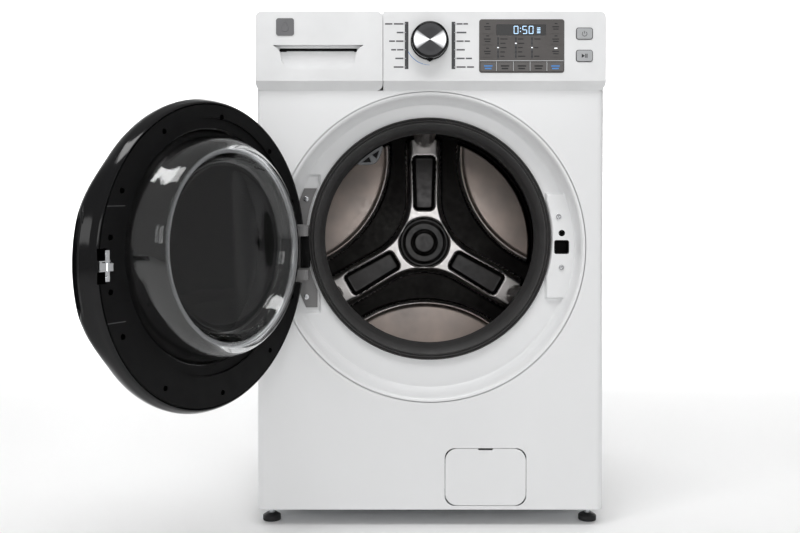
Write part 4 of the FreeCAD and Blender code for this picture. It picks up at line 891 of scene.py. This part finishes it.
def bowl_profile(thickness):
    return [(radius - thickness * smaller, height + thickness * shallower)
            for radius, height, smaller, shallower in BOWL]


def door_glass():
    """A thick pressed glass bowl with a rolled edge round its slanted end."""
    outer = [(213.0, 11.5), (213.0, 7.6), (GLASS_R + 1.0, 7.6)] + bowl_profile(0.0)
    inner = list(reversed(bowl_profile(GLASS_THICK)[1:])) + [(GLASS_R - 6.0, 11.5)]
    profile = smooth_path(from_ring(outer), 4) + smooth_path(from_ring(inner), 4)

    def slant(point):
        share = ease(point[1] - RING_Y, 0.0, 50.0)
        low = (GLASS_Z - point[2]) / GLASS_R
        return opened(np.array([point[0], point[1] + share * BOWL_SLANT * low, point[2]]))

    bowl = lathe("door_bowl", profile, GLASS_Z, GLASS_FACES[0], "door", 192, slant, closed=True,
                 smooth_angle=60.0)
    for material in GLASS_FACES[1:]:
        bowl.data.materials.append(MATERIALS[material])
    for face in bowl.data.polygons:
        x, y, z = closed_again(np.array(face.center) / MM)
        radius = hypot(x, z - GLASS_Z)
        # Faces on the rolled edge get the whiter glass of the painted highlight.
        if EDGE_R0 < radius < EDGE_R1 and y > RING_Y + EDGE_DEPTH:
            face.material_index = 1
        elif radius < FLAT_R:
            face.material_index = 2
    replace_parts(bowl, "door_glass")


def door_liner():
    """The dark pressed liner behind the bowl that the glass shows."""
    section = from_ring([(210.0, 12.5), (206.0, 14.0), (203.0, 22.0), (198.0, 40.0), (190.0, 54.0),
                         (180.0, 58.0), (90.0, 60.0), (0.5, 60.5)])
    lathe("door_liner", smooth_path(section, 4), GLASS_Z - 4.0, "liner", "door", 160, opened,
          smooth_angle=60.0)


def ring_marks():
    """The two short seams across the door's inner ring on its latch side."""
    off_middle, ring_r = 90.0, 262.0
    half = sqrt(ring_r ** 2 - off_middle ** 2)
    boxes = [(half - 38.0, half - 1.0, RING_Y - 0.2, RING_Y + 0.5, z - 0.7, z + 0.7)
             for z in (DOOR_Z + off_middle, DOOR_Z - off_middle)]
    blocks("ring_seams", boxes, "seam", "door", opened)


def hook_pocket_shades():
    """Near-black blocks in the two pockets in the ring beside the bright bracket: painted shade inside the
    pockets.
    """
    boxes = [(HOOK_X - 12.5, HOOK_X + 6.0, RING_Y - 1.0, RING_Y + 0.6, z - 9.0, z + 9.0)
             for z in (HOOK_Z - 18.0, HOOK_Z + 18.0)]
    blocks("hook_pocket_shades", boxes, "hole", "door", opened)


# ---- console details

SEGMENTS = {"0": "abcdef", "5": "afgcd"}


def digit(character, x, z, width, height, stroke):
    """Bars of a seven-segment digit, as blocks on the display's face."""
    half = height / 2
    gap = stroke * 0.25
    left, right = (x, x + stroke), (x + width - stroke, x + width)
    across = (x + gap + stroke / 2, x + width - gap - stroke / 2)
    upper = (z + half + gap, z + height - stroke / 2)
    lower = (z + stroke / 2, z + half - gap)
    places = {
        "a": (*across, z + height - stroke, z + height),
        "b": (*right, *upper),
        "c": (*right, *lower),
        "d": (*across, z, z + stroke),
        "e": (*left, *lower),
        "f": (*left, *upper),
        "g": (*across, z + half - stroke / 2, z + half + stroke / 2),
    }
    return [display_bar(*places[segment]) for segment in SEGMENTS[character]]


def display_bar(x0, x1, z0, z1):
    return (x0, x1, CONSOLE_Y - 1.25, CONSOLE_Y - 0.95, z0, z1)


def display_digits():
    z, size = 973.4, (9.0, 15.6, 1.35)
    boxes = digit("0", 162.0, z, *size)
    boxes += [display_bar(174.2, 176.0, z + up, z + up + 1.8) for up in (3.8, 10.0)]
    boxes += digit("5", 179.0, z, *size) + digit("0", 191.4, z, *size)
    boxes += [display_bar(207.5, 214.0, z + up, z + up + 1.5) for up in (1.5, 4.6, 7.7, 10.8)]
    blocks("display_digits", boxes, "glow")


def panel_marks():
    """Light scales, lamps and short printed lines in place of words on the display panel."""
    y0, y1 = CONSOLE_Y - 1.05, CONSOLE_Y - 0.75
    scales, lit, dark, words = [], [], [], []
    for number, x in enumerate((131.5, 166.2, 197.8)):
        scales.append((x - 1.6, x + 1.6, y0, y1, 925.5, 967.5))
        for tick in range(5):
            z = 963.5 - 8.4 * tick
            bright = tick == (2, 1, 2)[number]
            (lit if bright else dark).append((x - 1.5, x + 1.5, y0 - 0.15, y0, z - 0.9, z + 0.9))
            length = (14.0, 10.0, 12.0, 9.0, 8.0)[(tick + number) % 5]
            if number < 2 or tick in (0, 2, 4):
                words.append((x + 4.4, x + 4.4 + length, y0, y1, z - 0.9, z + 0.9))
    for x in (111.0, 244.5):
        for row, z in enumerate((993.5, 969.5, 945.5)):
            lamp = x > 200 and row == 2
            (lit if lamp else dark).append((x - 2.8, x + 2.8, y0, y1, z - 0.9, z + 0.9))
            words.append((x - 7.0, x + 6.0, y0, y1, z - 7.2, z - 5.2))
            words.append((x - 5.4, x + 5.4, y0, y1, z - 11.6, z - 9.8))
    for name, boxes, material in (("light_scales", scales, "light_bar"), ("lit_lamps", lit, "lamp"),
                                  ("dark_lamps", dark, "print_dark"), ("panel_lines", words, "print_dark")):
        blocks(name, boxes, material)


def key_marks():
    """Two printed lines on each key, blue on the outer keys."""
    y0, y1 = CONSOLE_Y - 1.85, CONSOLE_Y - 1.6
    for index in range(5):
        x = 112.2 + 32.8 * index
        material = "print_blue" if index in (0, 4) else "print_dark"
        boxes = [(x - 8.0, x + 8.5, y0, y1, 909.6, 912.2), (x - 6.5, x + 6.5, y0, y1, 904.6, 907.2)]
        blocks(f"key_marks_{index + 1}", boxes, material, f"key_{index + 1}")


def row_z(row):
    """Height of a program's line beside the light bars."""
    return ROWS_Z + ROW_STEP * ((ROW_COUNT - 1) / 2 - row)


def bar_labels():
    """Short grey lines beside each light bar, in place of the program names."""
    y0, y1 = CONSOLE_Y - 0.25, CONSOLE_Y + 0.05
    sides = ((-1, -53.2, (36, 13, 28, 24, 16, 19)), (1, 50.6, (22, 19, 26, 16, 30, 34)))
    boxes = []
    for row in range(ROW_COUNT):
        for side, x, lengths in sides:
            length = lengths[row]
            words = [(0.0, length)] if length < 20 else [(0.0, length * 0.52), (length * 0.60, length)]
            for start, end in words:
                x0, x1 = sorted((x + side * start, x + side * end))
                boxes.append((x0, x1, y0, y1, row_z(row) - 1.4, row_z(row) + 1.4))
    blocks("bar_labels", boxes, "print")


def bar_ticks():
    """The small lit steps across each light bar, one for each line beside it."""
    boxes = [(x - 1.9, x + 1.9, CONSOLE_Y - 1.1, CONSOLE_Y - 0.7, row_z(row) - 0.7, row_z(row) + 0.7)
             for x in (-50.2, 47.6) for row in range(ROW_COUNT)]
    blocks("bar_ticks", boxes, "button")


def key_lines():
    """The pale lines above and between the five keys."""
    y0, y1 = CONSOLE_Y - 1.1, CONSOLE_Y - 0.7
    boxes = [(PANEL_X0 + 1.5, PANEL_X1 - 1.5, y0, y1, 920.6, 921.8)]
    boxes += [(x - 0.6, x + 0.6, y0, y1, 901.5, 919.5) for x in (128.6, 161.4, 194.2, 227.0)]
    blocks("key_lines", boxes, "pale_rib")


def arc_band(name, centre, radius, width, turn, depths, material, body, steps=40, fade=0.0):
    """A flat band along an arc of turn[0] to turn[1] degrees, between a back and a front depth."""
    back, front = depths
    vertices = []
    for k in range(steps + 1):
        angle = radians(turn[0] + (turn[1] - turn[0]) * k / steps)
        half = width / 2 * (1.0 - fade + fade * sin(pi * k / steps))
        for r, y in ((radius - half, back), (radius - half, front), (radius + half, front),
                     (radius + half, back)):
            vertices.append((centre[0] + r * cos(angle), y, centre[1] + r * sin(angle)))
    add_mesh(name, vertices, sheet_faces(steps + 1, 4, False, True), material, body)


def dial_arcs():
    """The thin blue and grey arcs printed round the knob."""
    centre, depths = (KNOB_X, KNOB_Z), (CONSOLE_Y + 0.1, CONSOLE_Y - 0.2)
    for name, width, turn, material in (("dial_arc_blue", 1.2, (186, 270), "print_blue"),
                                        ("dial_arc_grey", 0.7, (160, 186), "print")):
        arc_band(name, centre, 46.6, width, turn, depths, material, "cabinet", fade=0.65)


def knob():
    """A black grip with a spun metal face and a pointed skirt at its lower edge."""
    side = smooth_path([(0.6, CONSOLE_Y - 1.6), (KNOB_R - 0.8, CONSOLE_Y - 1.6), (KNOB_R, CONSOLE_Y - 3.0),
                        (KNOB_R, KNOB_FRONT + 4.0), (KNOB_R - 0.8, KNOB_FRONT + 1.4),
                        (KNOB_R - 2.6, KNOB_FRONT + 0.1), (KNOB_R - 3.4, KNOB_FRONT + 0.4),
                        (KNOB_R - 3.8, KNOB_FRONT + 1.6)], 4)
    cap = [(KNOB_R - 3.6, KNOB_FRONT + 1.6), (KNOB_R - 4.4, KNOB_FRONT + 0.6),
           (KNOB_R - 5.4, KNOB_FRONT + 0.5), (20.0, KNOB_FRONT + 1.4), (0.3, KNOB_FRONT + 2.2)]
    for name, profile, material in (("knob_grip", side, "gloss"), ("knob_face", cap, "knob_face")):
        turned = lathe(name, profile, KNOB_Z, material, "knob", 160, x=KNOB_X, smooth_angle=50.0)
        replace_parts(turned, "knob")
    skirt = [(KNOB_X - 15.0, KNOB_Z - 31.5), (KNOB_X, KNOB_Z - 41.0), (KNOB_X + 15.0, KNOB_Z - 31.5),
             (KNOB_X, KNOB_Z - 26.0)]
    pointer = plaque("knob_pointer", skirt, CONSOLE_Y - 9.0, CONSOLE_Y - 2.0, 1.0, "black", "knob")
    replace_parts(pointer, "knob")


def drawer_slot():
    """A black plaque in the slot along the top of the drawer's finger recess, painted shade for the slot's inside,
    with a thin bright bar under it.
    """
    back = CONSOLE_Y + 13.0
    slot = rounded_outline(-296.5, -144.5, 940.4, 946.6, 2.4)
    plaque("grip_slot_painted_shade", slot, back - 0.5, back + 6.0, 0.4, "black", "drawer")
    bar = rounded_outline(-283.0, -150.0, 940.0, 941.4, 0.6)
    plaque("grip_bar", bar, back - 1.2, back + 1.0, 0.3, "pale_rib", "drawer")


def power_symbol():
    y0, y1 = CONSOLE_Y - 2.25, CONSOLE_Y - 1.95
    arc_band("power_ring", (BUTTON_X, POWER_Z - 0.4), 4.65, 0.9, (125, 415), (y1, y0), "print_dark",
             "power_button", 36)
    bar = (BUTTON_X - 0.5, BUTTON_X + 0.5, y0, y1, POWER_Z, POWER_Z + 5.2)
    blocks("power_bar", [bar], "print_dark", "power_button")


def start_symbol():
    y0, y1 = CONSOLE_Y - 2.25, CONSOLE_Y - 1.95
    triangle = [(BUTTON_X - 5.4, START_Z - 4.0), (BUTTON_X + 0.6, START_Z), (BUTTON_X - 5.4, START_Z + 4.0)]
    plaque("play_mark", triangle, y0, y1, 0.05, "print_dark", "start_button")
    bars = [(BUTTON_X + x, BUTTON_X + x + 1.5, y0, y1, START_Z - 4.0, START_Z + 4.0) for x in (1.6, 4.2)]
    blocks("pause_mark", bars, "print_dark", "start_button")


def button_rims():
    """The thin dark outline round each push button."""
    for name, z in (("power_rim", POWER_Z), ("start_rim", START_Z)):
        outline = rounded_outline(BUTTON_X - 16.6, BUTTON_X + 16.6, z - 11.8, z + 11.8, 5.2)
        steps = [(0.0, CONSOLE_Y + 0.1), (0.1, CONSOLE_Y - 0.6), (1.1, CONSOLE_Y - 0.7),
                 (1.2, CONSOLE_Y + 2.0)]
        faces = sheet_faces(len(steps), len(outline), False, True)
        add_mesh(name, stepped(outline, steps), faces, "print_dark", smooth_angle=50.0)


# ---- assembly

# The CAD nodes that show, with the bevel on their edges in millimetres, by material.
FINISHED = {
    "console": {"console_fascia": 0.8, "drawer_front": 0.8, "filter_cap": 1.0},
    "panel": {"display_panel": 0.25},
    "display": {"display_window": 0.3},
    "light_bar": {"indicator_bars": 0.25},
    "badge": {"badge": 0.4},
    "button": {"power_button": 0.9, "start_button": 0.9, "shipping_plugs": 0.8},
    "enamel": {"side_panel_left": 0.4, "side_panel_right": 0.4, "top_panel": 0.4, "filter_cover": 0.5},
    "hose": {"foot_pads": 1.2},
    "galvanised": {"foot_studs": 0.4, "rear_access_cover": 0.4},
    "hinge": {"hinge_plate": 0.9},
    "chrome": {"hinge_pin": 0.8, "panel_screws": 0.5, "hook_bracket": 0.4, "door_hook": 0.6},
    "black": {"door_ring": 0.7},
    # The door's screws are made near-black: painted shade in their holes.
    "hole": {"door_screws": 0.4},
    "drawer_plastic": {"drawer_tray": 0.8},
    "nozzle": {"inlet_valves": 0.6},
}
# The CAD nodes that keep their own object, by material.
PLAIN = {
    "galvanised": ("rear_panel", "base_frame", "seal_clamp", "tub_bearings", "suspension_springs",
                   "dampers"),
    "tub": ("dispenser_housing", "tub_front", "tub_rear", "drain_pump"),
    "black": ("control_module", "door_lock", "motor_rotor"),
    "copper": ("motor_stator",),
    "concrete": ("counterweights",),
    "steel": ("heater",),
    "hose": ("drain_hoses",),
    "zinc": ("drum_spider",),
}


def dress_nodes():
    """Round the edges of the CAD nodes that show, and give every other one its material."""
    for material, bevels in FINISHED.items():
        for node, bevel in bevels.items():
            finish_node(node, material, bevel)
    for index in range(5):
        finish_node(f"option_key_{index + 1}", "key", 0.4)
    for material, nodes in PLAIN.items():
        for node in nodes:
            part = frame["nodes"][node]
            for slot in part.material_slots:
                slot.material = MATERIALS[material]
            if not part.material_slots:
                part.data.materials.append(MATERIALS[material])


def area_light(name, place, target, size, power, spread):
    data = bpy.data.lights.new(name, "AREA")
    data.shape = "RECTANGLE"
    data.size, data.size_y = size
    data.energy = power
    data.spread = radians(spread)
    light = add_object(name, data)
    light.location = place
    light.rotation_euler = (Vector(target) - Vector(place)).to_track_quat("-Z", "Y").to_euler()


LIGHTS = (
    ("overhead", (-0.2, -1.6, 3.2), (0.0, -0.40, 0.5), (2.4, 0.8), 50.0, 180.0),
    ("left", (-2.9, -2.6, 1.3), (0.0, -0.3, 0.6), (0.25, 2.6), 14.0, 180.0),
    ("right", (2.3, -2.6, 1.2), (0.0, -0.3, 0.5), (0.25, 2.4), 4.0, 180.0),
    ("front", (0.2, -4.6, 1.6), (0.0, -0.3, 0.6), (2.2, 1.0), 18.0, 180.0),
    ("backdrop", (0.0, 1.7, 3.9), (0.0, 2.85, 0.9), (6.0, 0.5), 130.0, 60.0),
)


def studio_floor():
    """A plain white floor, in metres, that sweeps up behind."""
    half_width, bend_y, bend_r, top = 6.0, 1.6, 1.2, 5.0
    turns = [radians(angle) for angle in range(6, 91, 6)]
    profile = [(-6.0, 0.0), (bend_y, 0.0)]
    profile += [(bend_y + bend_r * sin(a), bend_r - bend_r * cos(a)) for a in turns]
    profile.append((bend_y + bend_r, top))
    vertices = [(x, y, z) for y, z in profile for x in (-half_width, half_width)]
    mesh = bpy.data.meshes.new("studio_floor")
    mesh.from_pydata(vertices, [], sheet_faces(len(profile), 2))
    surface = Surface("studio_white", (0.90, 0.90, 0.90), 0.75)
    surface.vary_roughness(surface.noise(3.0), 0.7, 0.8)
    mesh.materials.append(surface.material)
    mesh.shade_smooth()
    add_object("studio_floor", mesh)


def studio():
    """The floor, an even white surround and soft lights."""
    studio_floor()
    world = bpy.data.worlds.new("studio")
    world.use_nodes = True
    background = world.node_tree.nodes["Background"]
    background.inputs["Color"].default_value = (1.0, 1.0, 1.0, 1.0)
    background.inputs["Strength"].default_value = 0.40
    scene.world = world
    for light in LIGHTS:
        area_light(*light)
    scene.view_settings.view_transform = "Standard"


def camera():
    data = bpy.data.cameras.new("camera")
    data.lens = 45.6
    data.sensor_width = 36.0
    data.shift_y = -0.0716
    data.clip_end = 50.0
    eye = add_object("camera", data)
    eye.location = (-0.060, -2.3675, 0.6726)
    eye.rotation_euler = (radians(90.0 - 1.2), 0.0, 0.0)
    scene.camera = eye


for build in (front_panel, hinge_gap_shade, door_seal, spray_nozzle, drum_back, drum_wall, drum_lip,
              drum_lifters, door_cover, door_trim, door_window, door_glass, door_liner, ring_marks,
              hook_pocket_shades, display_digits, panel_marks, key_marks, bar_labels, bar_ticks, key_lines,
              dial_arcs, knob, drawer_slot, power_symbol, start_symbol, button_rims, dress_nodes,
              studio, camera):
    build()
